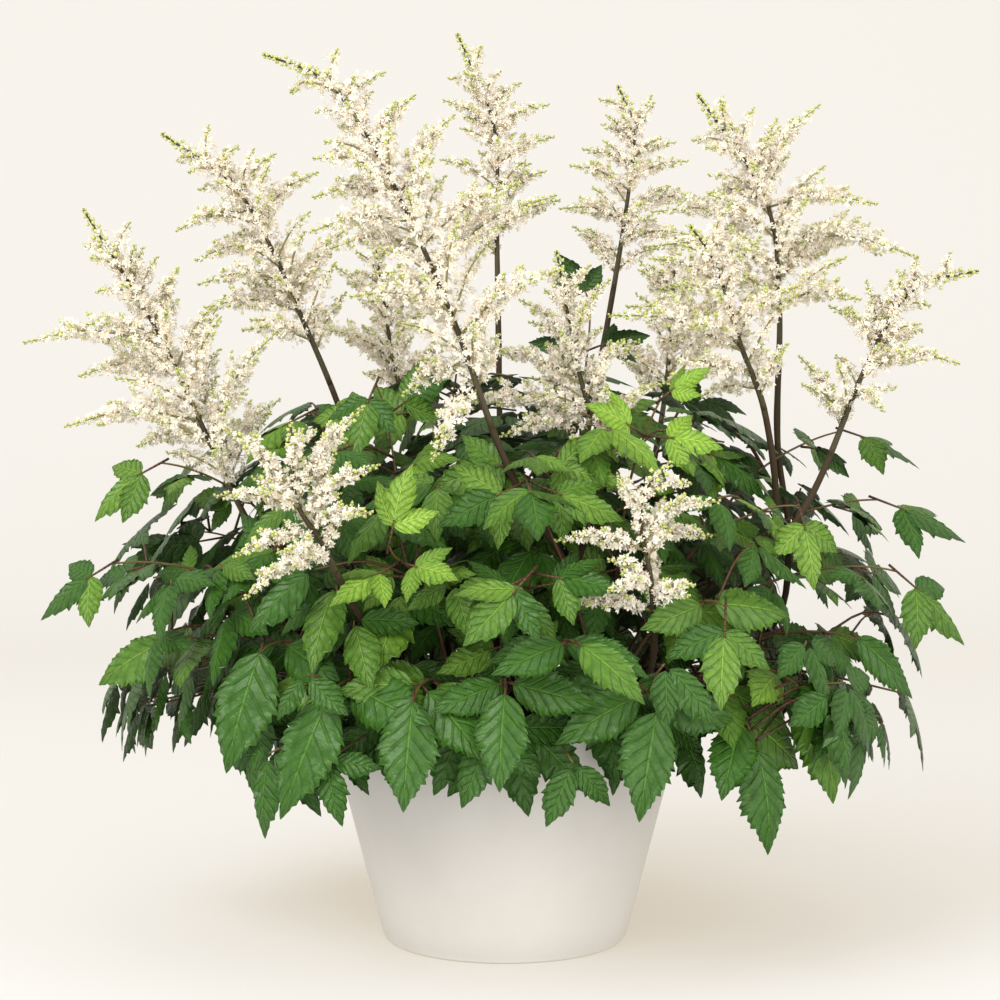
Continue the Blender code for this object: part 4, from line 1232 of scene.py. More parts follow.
def leaf_look(size):
    """Leaf tissue: a pale rib, side veins that run forward and are drawn darker as
    painted shade in their sunken lines, quilted fields between them, and a green
    per leaflet from its place in the map."""
    look, n, sockets = plain_look("leaf_tissue", 0.42, 0.28)
    uv, u, v = n.own_map()
    cell = n.times(u, float(TONES))
    tone = n.sum("FLOOR", cell)
    far = n.sum("ABSOLUTE", n.times(n.minus(n.sum("FRACT", cell), 0.5), 2.0))
    vein_at = n.times(n.minus(v, n.times(far, VEIN_LEAN)), VEIN_PAIRS)
    wave = n.sum("ABSOLUTE", n.minus(n.sum("FRACT", vein_at), 0.5))
    field = n.span(wave, 0.5, 0.30)
    vein = n.span(wave, 0.44, 0.5)
    rib = n.span(far, *RIB_SPAN)
    small = n.noise(n.stretched(uv, (60.0, 26.0, 1.0)), 1.0, 2.0, 0.55)
    height = n.plus(n.times(field, 0.80), n.times(small, 0.50))
    height = n.minus(height, n.times(rib, 0.8))
    share = n.sum("DIVIDE", n.plus(tone, 0.5), float(TONES))
    green = n.ramp(share, [(k / TONES, c) for k, c in enumerate(leaf_tones(size))], True)
    pale = n.mix(1.0, green, RIB_TINT, "MULTIPLY")
    # The green darkened: it paints shade into the sunken veins and also darkens random
    # mottled patches
    deep = n.mix(1.0, green, VEIN_SHADE_AND_PATCH_TINT, "MULTIPLY")
    patches = n.span(n.mottle(n.stretched(uv, (8.0, 1.0, 1.0)), 9.0), 0.38, 0.62)
    colour = n.mix(patches, deep, green)
    # Painted shade: the sunken vein lines are drawn darker
    colour = n.mix(n.times(vein, 0.40), colour, deep)
    colour = n.mix(n.times(rib, 0.85), colour, pale)
    stalk = n.sum("GREATER_THAN", tone, PETIOLE_TONE - 0.5)
    colour = n.mix(stalk, colour, n.ramp(v, PETIOLE_COLOURS))
    n.join(colour, sockets["Base Color"])
    n.join(n.span(field, 0.0, 1.0, 0.52, 0.36), sockets["Roughness"])
    n.join(n.bump(height, 0.8, 0.0011), sockets["Normal"])
    return look


def leaf_tones(size):
    """Greens from the oldest leaves to the youngest, then the underside."""
    old = np.array(size.leaf_old[:])
    young = np.array(size.leaf_young[:])
    steps = [old + (young - old) * f for f in TONE_STEPS] + [old * 0.9 + UNDER_PALER]
    return [step.tolist() for step in steps]


def bloom_look(size):
    """Floret tissue: petals, buds and stalklets lie side by side in the map."""
    look, n, sockets = plain_look("floret_tissue", 0.62, 0.35)
    _, u, v = n.own_map()
    petal, warm, bud = (tuple(c) for c in (size.petal_colour, size.petal_warm,
                                           size.bud_colour))
    opening = tuple(0.5 * (p + b) for p, b in zip(petal, bud))
    tissue = n.ramp(u, [(0.0, petal), (0.30, petal), (0.55, warm), (0.595, warm),
                        (0.60, opening), (0.68, bud), (0.76, tinted(bud, 0.75)),
                        (0.795, TWIG_COLOUR), (TWIG_TONE, TWIG_COLOUR),
                        (SPRAY_TONE, SPRAY_COLOUR), (AXIS_TONE, AXIS_COLOUR)])
    heart = n.times(n.span(v, 0.42, 0.0), n.sum("LESS_THAN", u, 0.598))
    tissue = n.mix(n.times(heart, HEART_SHARE), tissue, tuple(size.heart_colour))
    n.join(tissue, sockets["Base Color"])
    sockets["Subsurface Weight"].default_value = 0.5
    sockets["Subsurface Radius"].default_value = (1.0, 0.85, 0.65)
    sockets["Subsurface Scale"].default_value = 0.004
    return look


def stem_look(size):
    """Stalk bark: brown to olive streaks along the stem."""
    look, n, sockets = plain_look("stalk_bark", 0.65, 0.2)
    uv, _, v = n.own_map()
    streak = n.mottle(n.stretched(uv, (30.0, 7.0, 1.0)), 2.4)
    colour = n.ramp(n.plus(v, n.times(streak, 0.5)),
                    [(0.10, BARK_FOOT), (0.60, tuple(size.stem_colour)), (1.0, BARK_TOP)])
    n.join(colour, sockets["Base Color"])
    n.join(n.bump(streak, 0.5, 0.0006), sockets["Normal"])
    return look


def pot_look(size):
    """Satin glaze, a touch uneven."""
    look, n, sockets = plain_look("pot_glaze", 0.36, 0.5)
    place = n.add("TexCoord").outputs["Object"]
    cloud = n.mottle(place, 14.0)
    colour = tuple(size.pot_colour)
    n.join(n.mix(n.span(cloud, 0.35, 0.65), tinted(colour, 0.965), colour),
           sockets["Base Color"])
    n.join(n.span(cloud, 0.3, 0.7, 0.33, 0.42), sockets["Roughness"])
    n.join(n.bump(n.noise(place, 900.0, 2.0, 0.55), 0.06, 0.0003), sockets["Normal"])
    return look


def soil_look(size):
    """Dark potting soil with crumbs and lighter fibres."""
    look, n, sockets = plain_look("potting_soil", 0.95, 0.2)
    crumb = n.mottle(n.add("TexCoord").outputs["Object"], 160.0)
    dark = tuple(size.soil_colour)
    n.join(n.ramp(crumb, [(0.35, tinted(dark, 0.45)), (0.55, dark),
                          (0.72, tinted(dark, 2.4))]), sockets["Base Color"])
    n.join(n.bump(crumb, 1.0, 0.003), sockets["Normal"])
    return look


# What grows on the stems

def plume_arrays(size, axis, sprays, seed):
    """Everything of one plume: axis, side sprays, their branchlets, and the
    florets and buds on all of them."""
    rng = np.random.default_rng(seed)
    long = [spray_path(s["start"], s["lean"], s["tip"], 12) for s in sprays]
    paths = np.array(long + extra_sprays(size, axis, sprays, rng))
    slim = min(span_of(axis) / FULL_HEIGHT, 1.0) ** 0.7
    tracks = [(path, 0.07, slim) for path in paths]
    tracks += [(path, 0.15, 0.80 * slim) for path in branchlets(size, np.array(long), rng)]
    tracks.append((resampled(axis, 40)[20:], 0.0, slim))
    grown = [twig_rows(size, path, begin, wide, rng) for path, begin, wide in tracks]
    tips = [bud_rows(size, path, rng, 1.0) for path, _, _ in tracks[:-1]]
    tips.append(bud_rows(size, tracks[-1][0], rng, AXIS_PLUMPER))
    twigs = np.concatenate([g[4] for g in grown])
    return [swept_tubes(resampled(axis, 36)[None], AXIS_RADII, 7, AXIS_TONE),
            swept_tubes(paths, SPRAY_RADII, 4, SPRAY_TONE),
            florets(*[np.concatenate([g[k] for g in grown]) for k in range(4)], seed + 1),
            buds(*[np.concatenate([g[k] for g in tips]) for k in range(4)]),
            swept_tubes(twigs, TWIG_RADII, 3, TWIG_TONE)]


def span_of(path):
    """Straight distance from the first to the last point."""
    return float(np.linalg.norm(path[-1] - path[0]))


def length_of(fine):
    """Length along a path."""
    return float(np.linalg.norm(np.diff(fine, axis=0), axis=1).sum())


def extra_sprays(size, axis, sprays, rng):
    """Sprays on all sides between the long ones: each turns on from the last
    by the golden angle and is a share as long as its neighbours."""
    fine = resampled(axis, 80)
    at = [float(np.argmin(np.linalg.norm(fine - s["start"], axis=1))) for s in sprays]
    reach = [float(np.linalg.norm(s["tip"] - s["start"])) for s in sprays]
    order = np.argsort(at)
    at, reach = np.array(at)[order], np.array(reach)[order]
    kernel = np.exp(-((at[:, None] - at[None]) / NEIGHBOUR_ROWS) ** 2)
    reach = kernel @ reach / kernel.sum(axis=1)
    found = []
    first = rng.uniform(0, FULL_TURN)
    count = int(max(span_of(axis) - BARE_HEIGHT, 0) / size.extra_spray_gap)
    for k in range(count):
        f = at[0] + (0.86 * len(fine) - at[0]) * (k + 0.5) / count
        point, lean = along_path(fine, np.array([f / (len(fine) - 1)]))
        out = unit(around(lean, np.array([first + GOLDEN_ANGLE * k]))[0] + 0.2 * UP)
        length = float(np.interp(f, at, reach)) * rng.uniform(0.62, 0.9)
        tip = point[0] + length * unit(out + lean[0] * rng.uniform(0.4, 0.7))
        found.append(spray_path(point[0], lean[0], tip, 12))
    return found


def branchlets(size, paths, rng):
    """Short side branchlets of the lower half of each long spray."""
    found = []
    steps = np.linspace(0, 1, 12)[None, :, None]
    for path in paths:
        fine = resampled(path, 40)
        length = length_of(fine)
        count = int(length / size.branchlet_gap)
        if count < 1:
            continue
        f = 0.12 + 0.50 * (np.arange(count) + 0.5) / count
        point, t = along_path(fine, f)
        out = around(t, GOLDEN_ANGLE * np.arange(count) + rng.uniform(0, FULL_TURN))
        way = unit_rows(0.85 * out + t + 0.25 * UP)
        reach = BRANCHLET_SHARE * length * (1 - 0.65 * f) * rng.uniform(0.8, 1.15, count)
        bend = steps ** 2 * 0.25 * t[:, None]
        found.append(point[:, None] + reach[:, None, None] * (steps * way[:, None] + bend))
    return np.concatenate(found) if found else []


def along_path(fine, f):
    """Points and tangents of an evenly sampled path at fractions f."""
    x = f * (len(fine) - 1)
    i = np.clip(x.astype(int), 0, len(fine) - 2)
    w = (x - i)[:, None]
    point = fine[i] * (1 - w) + fine[i + 1] * w
    return point, unit_rows(fine[i + 1] - fine[i])


def twig_rows(size, path, begin, wide, rng):
    """Short twigs turn round a spray by the golden angle, lean forward, and
    carry florets towards their ends."""
    fine = resampled(path, 60)
    length = length_of(fine)
    run = TWIGS_END - begin
    count = max(int(length * run / size.twig_gap), 2)
    f = begin + run * (np.arange(count) + rng.uniform(0, 0.8, count)) / count
    point, t = along_path(fine, f)
    out = around(t, GOLDEN_ANGLE * np.arange(count) + rng.normal(0, 0.25, count))
    rise = np.clip((f - begin) / 0.14, 0.45, 1)
    full = min(length / LONG_SPRAY, 1.0) ** 0.5
    reach = wide * full * size.spray_radius * rise * (1 - 0.80 * f ** 1.5)
    reach = reach * rng.uniform(0.75, 1.15, count)
    way = unit_rows(out + 0.45 * t)
    per = size.florets_on_twig
    share = 1.0 - 0.62 * (np.arange(per) / per)
    jitter = 0.17 * reach[:, None, None] * rng.normal(0, 1, (count, per, 3))
    spots = point[:, None] + way[:, None] * (reach[:, None] * share)[..., None] + jitter
    face = unit_rows(way[:, None] + 0.55 * rng.normal(0, 1, (count, per, 3)))
    young = np.clip((f - YOUNG_FROM) / 0.26, 0, 1)[:, None]
    radius = size.floret_radius * (1 - 0.45 * young)
    radius = radius * rng.uniform(0.82, 1.15, (count, per))
    tone = rng.uniform(0.0, 0.58, (count, per)) * (1 - 0.5 * young)
    twigs = np.stack([point, point + way * (reach * 0.85)[:, None]], axis=1)
    keep = rng.uniform(0, 1, (count, per)) > 0.02 + 0.5 * young ** 2
    return spots[keep], face[keep], radius[keep], tone[keep], twigs[::TWIGS_SHOWN]


def bud_rows(size, path, rng, plump):
    """Buds close in on the tip of a spray, green at the very end. The axis
    of a plume has plumper ones."""
    fine = resampled(path, 60)
    length = length_of(fine)
    count = max(int(BUD_SHARE * length * plump / size.bud_gap), 4)
    f = 1.0 - BUD_SHARE * (np.arange(count) / count) ** 1.15
    point, t = along_path(fine, np.clip(f, 0, 0.999))
    out = around(t, GOLDEN_ANGLE * np.arange(count))
    back = (1 - f) / BUD_SHARE
    reach = plump * (0.0006 + 0.0024 * back * min(length / 0.05, 1))
    spots = point + out * (reach * rng.uniform(0.5, 1.4, count))[:, None]
    radius = plump ** 0.5 * size.bud_radius * (0.60 + 0.5 * back)
    radius = radius * rng.uniform(0.85, 1.15, count)
    tone = 0.755 - 0.135 * back * rng.uniform(0.6, 1.1, count)
    return spots, unit_rows(out + 0.9 * t), radius, tone


def frond_arrays(frond, index):
    """A frond: leaf stalk, side shoots, stalklets and leaflets. A leaflet of
    a side shoot, and one that is young or high up, is three small ones."""
    rng = np.random.default_rng(LEAF_SEED + index)
    line = np.array(smooth(list(frond["path"]), 40))
    if frond["leaves"]:
        end_leaf = frond["leaves"][0]
        neck_end = end_leaf["base"] + end_leaf["axis"] * end_leaf["length"] * STALKLET
        line = np.concatenate([line[:-1], neck_end[None]])
    line = eased(resampled(line, 44), 6)[None]
    parts = [swept_tubes(line, LEAF_STALK_RADII, 6, STALK_TONE)]
    for shoot in frond["shoots"]:
        line = resampled(smooth(list(shoot), 20), 14)[None]
        parts.append(swept_tubes(line, SHOOT_RADII, 5, STALK_TONE))
    large, small, stalklets = [], [], []
    for leaf in frond["leaves"]:
        rolled = hung(leaf, rng)
        near = [np.linalg.norm(leaf["base"] - shoot[-1]) for shoot in frond["shoots"]]
        young = leaf_tone(leaf, rng) >= YOUNG_TONE or leaf["base"][2] > SMALL_ABOVE
        if young or (near and min(near) < SHOOT_NEAR):
            small += three_of(rolled, rng)
            neck = THREE_AT
        else:
            large.append(part_of(rolled, STALKLET, 1 - STALKLET, 0.0))
            neck = STALKLET
        reach = leaf["axis"] * leaf["length"] * neck
        stalklets.append([leaf["base"], leaf["base"] + reach + leaf["axis"] * MM])
    for group, teeth, cols in ((large, *LARGE_GRID), (small, *SMALL_GRID)):
        if group:
            tones = [leaf_tone(leaf, rng) for leaf in group]
            parts.append(leaf_blades(group, tones, teeth, cols, BLADE_SEED + index))
    parts.append(swept_tubes(np.array(stalklets), STALKLET_RADII, 5, STALK_TONE))
    return parts


def part_of(leaf, start, share, angle):
    """A leaflet that starts a share along another's rib, turned by an angle."""
    return dict(leaf, base=leaf["base"] + leaf["axis"] * leaf["length"] * start,
                axis=turned(leaf["axis"], leaf["normal"], angle),
                length=leaf["length"] * share, width=leaf["width"] * share)


def square_to(normal, axis):
    """A face direction made square to the rib."""
    return unit(normal - axis * normal.dot(axis))


def three_of(leaf, rng):
    """One end leaflet and two at its sides, in place of one leaflet."""
    found = [part_of(leaf, THREE_AT, 0.66, rng.normal(0, 0.06))]
    for angle in (SIDE_ANGLE, -SIDE_ANGLE):
        side = part_of(leaf, THREE_AT - 0.04, rng.uniform(0.50, 0.58),
                       angle + rng.normal(0, 0.10))
        tilt = side["normal"] + 0.25 * rng.normal(0, 1, 3)
        found.append(dict(side, normal=square_to(tilt, side["axis"])))
    return found


def hung(leaf, rng):
    """The leaflet rolled a little about its own rib, its face out of the mound."""
    x, y, _ = leaf["base"]
    out = np.array([0.15 * x, y - FRONT_SHARE, 0.0])
    away = out / max(float(np.linalg.norm(out)), 0.04)
    normal = leaf["normal"] + HANG * away + rng.normal(0, 0.22, 3)
    return dict(leaf, normal=square_to(normal, leaf["axis"]))


def leaf_tone(leaf, rng):
    """Older and darker low down, younger and paler near the top middle."""
    x, y, z = leaf["base"]
    youth = (TONE_MIDDLE + TONE_RISE * (z - TONE_HEIGHT)
             - TONE_FALL * (math.hypot(x, y) - TONE_RADIUS))
    bright = 0.0
    for spot, amount, spread in YOUNG_SPOTS:
        d = np.linalg.norm(leaf["base"] - np.array(spot))
        bright = max(bright, amount * math.exp(-(d / spread) ** 2))
    tone = TONE_SHARE * youth + bright + rng.normal(0, TONE_SCATTER)
    return float(min(max(round(tone), 0), len(TONE_STEPS) - 1))


def inner_leaves(size, room, fronds, seed):
    """Leaves in threes between the fronds, on shells of the mound: the point
    at azimuth a and height angle e lies at the shell's share of an
    ellipsoid. A leaflet faces out of the shell and points downhill, and
    stays only where nothing else grows."""
    rng = np.random.default_rng(seed)
    leaves, stalks = [], []
    wide, deep, high = MOUND_SIZE
    carriers = np.concatenate([resampled(np.array(path), 25) for f in fronds
                               for path in [f["path"]] + f["shoots"]])
    for k in range(size.inner_groups):
        a = GOLDEN_ANGLE * k + rng.normal(0, 0.1)
        e = math.asin(rng.uniform(*MOUND_SINES))
        share = rng.uniform(0.45, 1.0)
        ca, sa, ce, se = math.cos(a), math.sin(a), math.cos(e), math.sin(e)
        spot = np.array([wide * ca * ce * share, deep * sa * ce * share,
                         MOUND_MIDDLE + high * se * (0.35 + 0.65 * share)])
        up = unit(np.array([ca * ce, sa * ce, se]) + 0.5 * UP)
        downhill = square_to(np.array([ca, sa, -0.55]), up)
        ahead = turned(downhill, up, rng.normal(0, 0.7))
        length = rng.uniform(*INNER_LENGTH)
        own = "inner%03d" % k
        kept = len(leaves)
        for angle, part in INNER_THREE:
            axis = unit(turned(ahead, up, angle + rng.normal(0, 0.12)))
            leaf = leaf_at(spot + axis * 0.004, axis, up, length * part,
                           length * part * BLADE_WIDTH)
            if room.free(blade(leaf), (own,)):
                room.add(own, blade(leaf))
                leaves.append(leaf)
            elif angle == 0:
                break
        if len(leaves) > kept:
            below = carriers + 0.25 * UP * (carriers[:, 2:] > spot[2] - 0.004)
            root = carriers[np.argmin(np.linalg.norm(below - spot, axis=1))]
            bow = 0.12 * np.linalg.norm(spot - root) * UP
            stalks.append(smooth([root, 0.5 * (root + spot) + bow, spot], 7))
    return leaves, np.array(stalks)


def sector_of(points):
    """Which of the equal sectors round Z each point lies in."""
    turn = np.arctan2(points[:, 1], points[:, 0]) / (2 * math.pi) + 0.5
    return np.minimum((turn * INNER_PIECES).astype(int), INNER_PIECES - 1)


# Sizes and colours that a user may change

def length_of_user(name, description, default):
    return bpy.props.FloatProperty(name=name, description=description, default=default,
                                   unit="LENGTH")


def number_of_user(name, description, default, least=1):
    return bpy.props.IntProperty(name=name, description=description, default=default,
                                 min=least)


def colour_of_user(name, description, default):
    return bpy.props.FloatVectorProperty(name=name, description=description, size=3,
                                         subtype="COLOR", min=0, max=1, default=default)


def power_of_user(name, description, default):
    return bpy.props.FloatProperty(name=name, description=description, default=default)


class AstilbeSizes(bpy.types.PropertyGroup):
    pot_steps: number_of_user("Pot facets", "Facets round the pot", 144, 24)
    floret_radius: length_of_user("Floret radius", "Reach of a petal", 0.0030)
    florets_on_twig: number_of_user("Florets on a twig", "Florets along a short twig", 4)
    twig_gap: length_of_user("Twig spacing", "Length of spray for each twig", 0.0016)
    spray_radius: length_of_user("Spray radius", "Reach of the longest twigs", 0.0078)
    bud_radius: length_of_user("Bud radius", "Radius of a closed bud", 0.00145)
    bud_gap: length_of_user("Bud spacing", "Length of spray for each bud", 0.0014)
    extra_spray_gap: length_of_user(
        "Short spray spacing", "Length of plume for each short spray", 0.0052)
    branchlet_gap: length_of_user(
        "Branchlet spacing", "Length of spray for each branchlet", 0.009)
    inner_groups: number_of_user("Inner leaves", "Leaves in threes in the mound", 690)
    petal_colour: colour_of_user("Petals", "Open petals", (0.89, 0.835, 0.720))
    petal_warm: colour_of_user("Warm petals", "Petals with a blush", (0.85, 0.755, 0.605))
    heart_colour: colour_of_user("Floret heart", "Middle of a floret", (0.60, 0.54, 0.33))
    bud_colour: colour_of_user("Buds", "Closed buds", (0.47, 0.52, 0.15))
    leaf_old: colour_of_user("Old leaves", "Darkest leaves", (0.034, 0.104, 0.009))
    leaf_young: colour_of_user("Young leaves", "Palest leaves", (0.235, 0.40, 0.045))
    stem_colour: colour_of_user("Stalks", "Flowering stalks", (0.030, 0.015, 0.007))
    pot_colour: colour_of_user("Pot", "Glaze of the pot", (0.585, 0.565, 0.535))
    soil_colour: colour_of_user("Soil", "Potting soil", (0.035, 0.024, 0.016))


class AstilbeStage(bpy.types.PropertyGroup):
    floor_colour: colour_of_user("Floor", "Floor and backdrop", (0.334, 0.383, 0.445))
    floor_glow: colour_of_user(
        "Floor glow", "Even light of the floor, which softens shadows",
        (0.458, 0.367, 0.244))
    camera_distance: length_of_user("Camera distance", "From the pot's axis", 1.336)
    camera_height: length_of_user("Camera height", "Above the floor", 0.333)
    camera_pitch: bpy.props.FloatProperty(
        name="Camera pitch", description="Downwards", default=math.radians(3.0),
        subtype="ANGLE")
    key_power: power_of_user("Key light", "Power of the large light on the left", 76.0)
    fill_power: power_of_user("Fill light", "Power of the light on the right", 26.0)
    front_power: power_of_user("Front light", "Power of the light by the camera", 26.0)
    sky_strength: power_of_user("Room light", "Even light from all round", 0.93)


# What grew, worked out once by the first operator that needs it
GROWN = {}


def grown():
    """Paths of all stems, sprays and leaflets, and the room they take."""
    if not GROWN:
        stalks, axes = grow_stalks()
        sprays, room = grow_sprays(stalks, axes)
        room.add("pot", pot_shell())
        GROWN.update(stalks=stalks, axes=axes, sprays=sprays, fronds=grow_fronds(room),
                     room=room)
    return GROWN


class ASTILBE_OT_pot(bpy.types.Operator):
    """Pot: a tapered wall, a rounded lip and a small base edge, turned about Z"""
    bl_idname = "astilbe.pot"
    bl_label = "Pot"

    def execute(self, context):
        size = context.scene.astilbe_sizes
        lip = 0.5 * POT_WALL
        middle = POT_RIM_RADIUS - lip
        low = POT_BASE_RADIUS - POT_EDGE
        profile = [(0.0, POT_FLOOR), (pot_radius(POT_FLOOR) - POT_WALL, POT_FLOOR)]
        profile += [(middle + lip * math.cos(a), POT_HEIGHT - lip + lip * math.sin(a))
                    for a in np.linspace(math.pi, 0, 9)]
        profile += [(pot_radius(z), z)
                    for z in np.linspace(POT_HEIGHT - 2 * lip, POT_EDGE * 1.5, 10)]
        profile += [(low + POT_EDGE * math.cos(a), POT_EDGE - POT_EDGE * math.sin(a))
                    for a in np.linspace(0, 0.5 * math.pi, 6)]
        profile += [(0.0, 0.0)]
        part = turned_profile(profile, size.pot_steps)
        mesh_piece("pot_body", [part], pot_look(size), ["pot"])
        return {"FINISHED"}


def pot_radius(z):
    """Outer radius of the pot at a height."""
    return POT_BASE_RADIUS + (POT_RIM_RADIUS - POT_BASE_RADIUS) / POT_HEIGHT * z


class ASTILBE_OT_soil(bpy.types.Operator):
    """Soil: rings about Z whose height is a sum of sines, in the pot"""
    bl_idname = "astilbe.soil"
    bl_label = "Soil"

    def execute(self, context):
        size = context.scene.astilbe_sizes
        deep = SOIL_TOP - SOIL_SHOWN
        wide, low = (pot_radius(z) - POT_WALL - SOIL_PLAY for z in (SOIL_TOP, deep))
        profile = [(0.0, SOIL_TOP)]
        profile += [(wide * f, SOIL_TOP) for f in np.linspace(0.02, 1.0, 46)]
        profile += [(low, deep), (0.0, deep)]
        part = turned_profile(profile, 120)
        x, y, z = part["verts"].T
        rough = sum(np.sin(x * k * 1.3 + 1.7 * k) * np.sin(y * k * 1.1 + k) / (k / 130)
                    for k in SOIL_WAVES)
        part["verts"][:, 2] = np.where(z > SOIL_TOP - MM, z + SOIL_ROUGHNESS * rough, z)
        mesh_piece("soil_fill", [part], soil_look(size), ["soil"])
        return {"FINISHED"}


class ASTILBE_OT_stalks(bpy.types.Operator):
    """Stalks: tubes along the grown paths, thinner towards the plumes"""
    bl_idname = "astilbe.stalks"
    bl_label = "Flowering stalks"

    def execute(self, context):
        look = stem_look(context.scene.astilbe_sizes)
        stalks = grown()["stalks"]
        for key in sorted(stalks):
            if key == FORK_CHILD:
                continue
            parts = [self.stem(stalks[key], STALK_RADIUS * STALK_SLIM)]
            if key == FORK_PARENT:
                parts.append(self.stem(stalks[FORK_CHILD], STALK_RADIUS * FORK_SLIM))
            mesh_piece("stem_" + key, parts, look, ["stalk_" + key])
        return {"FINISHED"}

    @staticmethod
    def stem(path, radius):
        """A tube with a slight knot at every fifteenth ring."""
        knots = 1 + 0.12 * np.exp(-((np.arange(44) % 15 - 7) / 1.6) ** 2)
        return swept_tubes(resampled(path, 44)[None], (radius, STALK_TOP_RADIUS), 10, 0.5,
                           knots)


class ASTILBE_OT_plumes(bpy.types.Operator):
    """Plumes: florets and buds on twigs that turn round every spray"""
    bl_idname = "astilbe.plumes"
    bl_label = "Plumes"

    def execute(self, context):
        size = context.scene.astilbe_sizes
        look = bloom_look(size)
        world = grown()
        for number, key in enumerate(sorted(world["axes"])):
            parts = plume_arrays(size, world["axes"][key], world["sprays"][key],
                                 PLUME_SEED + number)
            mesh_piece("bloom_" + key, parts, look, ["plume_" + key])
        return {"FINISHED"}


class ASTILBE_OT_fronds(bpy.types.Operator):
    """Fronds: leaf stalks with saw-edged leaflets, one piece each"""
    bl_idname = "astilbe.fronds"
    bl_label = "Fronds"

    def execute(self, context):
        size = context.scene.astilbe_sizes
        look = leaf_look(size)
        for index, frond in enumerate(grown()["fronds"]):
            number = frond["name"][len("frond"):]
            mesh_piece("leaf_" + number, frond_arrays(frond, index), look,
                       ["frond_" + number])
        leaves, stalks = inner_leaves(size, grown()["room"], grown()["fronds"],
                                      INNER_SEED)
        rng = np.random.default_rng(INNER_SEED + 1)
        leaf_sector = sector_of(np.array([leaf["base"] for leaf in leaves]))
        stalk_sector = sector_of(stalks[:, -1])
        for k in range(INNER_PIECES):
            group = [leaf for leaf, at in zip(leaves, leaf_sector) if at == k]
            # The inner leaves are drawn some tones darker than their place gives: painted
            # shade deep in the mound
            tones = [max(round(leaf_tone(leaf, rng) - INNER_PAINTED_SHADE_TONES), 0) for leaf in group]
            parts = [leaf_blades(group, tones, *SMALL_GRID, INNER_SEED + 2 + k),
                     swept_tubes(stalks[stalk_sector == k], SHOOT_RADII, 4, STALK_TONE)]
            mesh_piece("leaf_inner_%d" % (k + 1), parts, look, [])
        return {"FINISHED"}


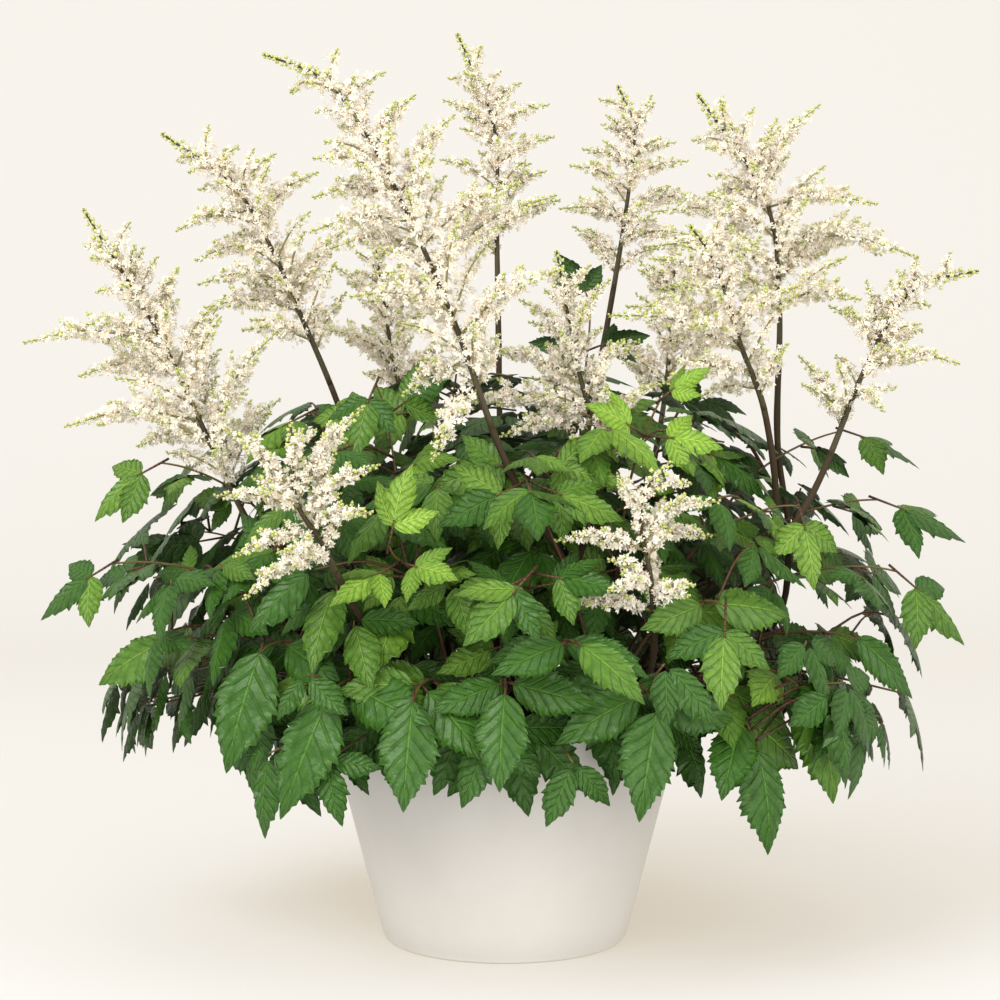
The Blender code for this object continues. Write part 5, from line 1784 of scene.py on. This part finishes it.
class ASTILBE_OT_stage(bpy.types.Operator):
    """Stage: pale floor that curves up into a backdrop, soft lights, camera"""
    bl_idname = "astilbe.stage"
    bl_label = "Stage"

    def execute(self, context):
        stage = context.scene.astilbe_stage
        look, _, sockets = plain_look("floor_paper", 0.9, 0.1)
        sockets["Base Color"].default_value = (*stage.floor_colour, 1)
        sockets["Emission Color"].default_value = (*stage.floor_glow, 1)
        sockets["Emission Strength"].default_value = 1.0
        floor = self.backdrop(look)
        self.light("key_light", (-1.5, -1.7, 1.9), 1.8, stage.key_power)
        self.light("fill_light", (1.9, -1.2, 1.1), 1.8, stage.fill_power)
        self.light("front_light", (0.3, -2.6, 0.75), 1.6, stage.front_power)
        world = bpy.data.worlds.new("room")
        world.use_nodes = True
        back = world.node_tree.nodes["Background"].inputs
        back["Color"].default_value = SKY_COLOUR
        back["Strength"].default_value = stage.sky_strength
        context.scene.world = world
        lens = bpy.data.cameras.new("camera")
        lens.sensor_width = SENSOR_WIDTH
        lens.lens = FOCAL_PIXELS * SENSOR_WIDTH / FRAME_PIXELS
        lens.clip_start = 0.05
        camera = bpy.data.objects.new("camera", lens)
        camera.location = (CAMERA_SIDE, -stage.camera_distance, stage.camera_height)
        camera.rotation_euler = (math.pi / 2 - stage.camera_pitch, 0, 0)
        context.scene.collection.objects.link(camera)
        context.scene.camera = camera
        context.scene.view_settings.view_transform = "Standard"
        context.scene.view_settings.look = "None"
        return {"FINISHED"}

    @staticmethod
    def backdrop(look):
        """A sheet: flat floor, a quarter round of one metre, then a wall."""
        bend = np.linspace(0, 0.5 * math.pi, 17)
        y = np.concatenate([[-4.0, -1.0, 0.5], 1.4 + np.sin(bend), [2.4]])[:, None]
        z = np.concatenate([[0.0, 0.0, 0.0], 1.0 - np.cos(bend), [4.0]])[:, None]
        x = np.linspace(-4, 4, 9)
        grid = np.stack(np.broadcast_arrays(x, y, z), axis=-1)
        data = bpy.data.meshes.new("floor")
        data.from_pydata(grid.reshape(-1, 3).tolist(), [],
                         quads_of(len(y), len(x)).tolist())
        data.polygons.foreach_set("use_smooth", np.full(len(data.polygons), True))
        data.materials.append(look)
        floor = bpy.data.objects.new("floor", data)
        bpy.context.scene.collection.objects.link(floor)
        return floor

    @staticmethod
    def light(name, place, size, power):
        """A square soft light that looks at the middle of the plant."""
        lamp = bpy.data.lights.new(name, "AREA")
        lamp.size = size
        lamp.energy = power
        lamp.color = LAMP_COLOUR
        made = bpy.data.objects.new(name, lamp)
        made.location = place
        aim = LAMP_AIM - np.array(place)
        flat = math.hypot(aim[0], aim[1])
        made.rotation_euler = (math.pi / 2 + math.atan2(aim[2], flat), 0,
                               math.atan2(aim[1], aim[0]) - math.pi / 2)
        bpy.context.scene.collection.objects.link(made)


class ASTILBE_PT_panel(bpy.types.Panel):
    """Lists the pieces of the astilbe and their sizes"""
    bl_idname = "ASTILBE_PT_panel"
    bl_label = "Astilbe"
    bl_space_type = "VIEW_3D"
    bl_region_type = "UI"
    bl_category = "Astilbe"

    def draw(self, context):
        column = self.layout.column()
        for made in OPERATORS:
            column.operator(made.bl_idname)
        for group in (context.scene.astilbe_sizes, context.scene.astilbe_stage):
            for key in group.bl_rna.properties.keys():
                if key not in ("rna_type", "name"):
                    column.prop(group, key)


OPERATORS = (ASTILBE_OT_pot, ASTILBE_OT_soil, ASTILBE_OT_stalks, ASTILBE_OT_plumes,
             ASTILBE_OT_fronds, ASTILBE_OT_stage)
CLASSES = (AstilbeSizes, AstilbeStage) + OPERATORS + (ASTILBE_PT_panel,)


def register():
    for made in CLASSES:
        bpy.utils.register_class(made)
    bpy.types.Scene.astilbe_sizes = bpy.props.PointerProperty(type=AstilbeSizes)
    bpy.types.Scene.astilbe_stage = bpy.props.PointerProperty(type=AstilbeStage)


def unregister():
    del bpy.types.Scene.astilbe_stage
    del bpy.types.Scene.astilbe_sizes
    for made in reversed(CLASSES):
        bpy.utils.unregister_class(made)


def main():
    register()
    bpy.ops.astilbe.pot()
    bpy.ops.astilbe.soil()
    bpy.ops.astilbe.stalks()
    bpy.ops.astilbe.plumes()
    bpy.ops.astilbe.fronds()
    bpy.ops.astilbe.stage()


if __name__ == "__main__":
    main()
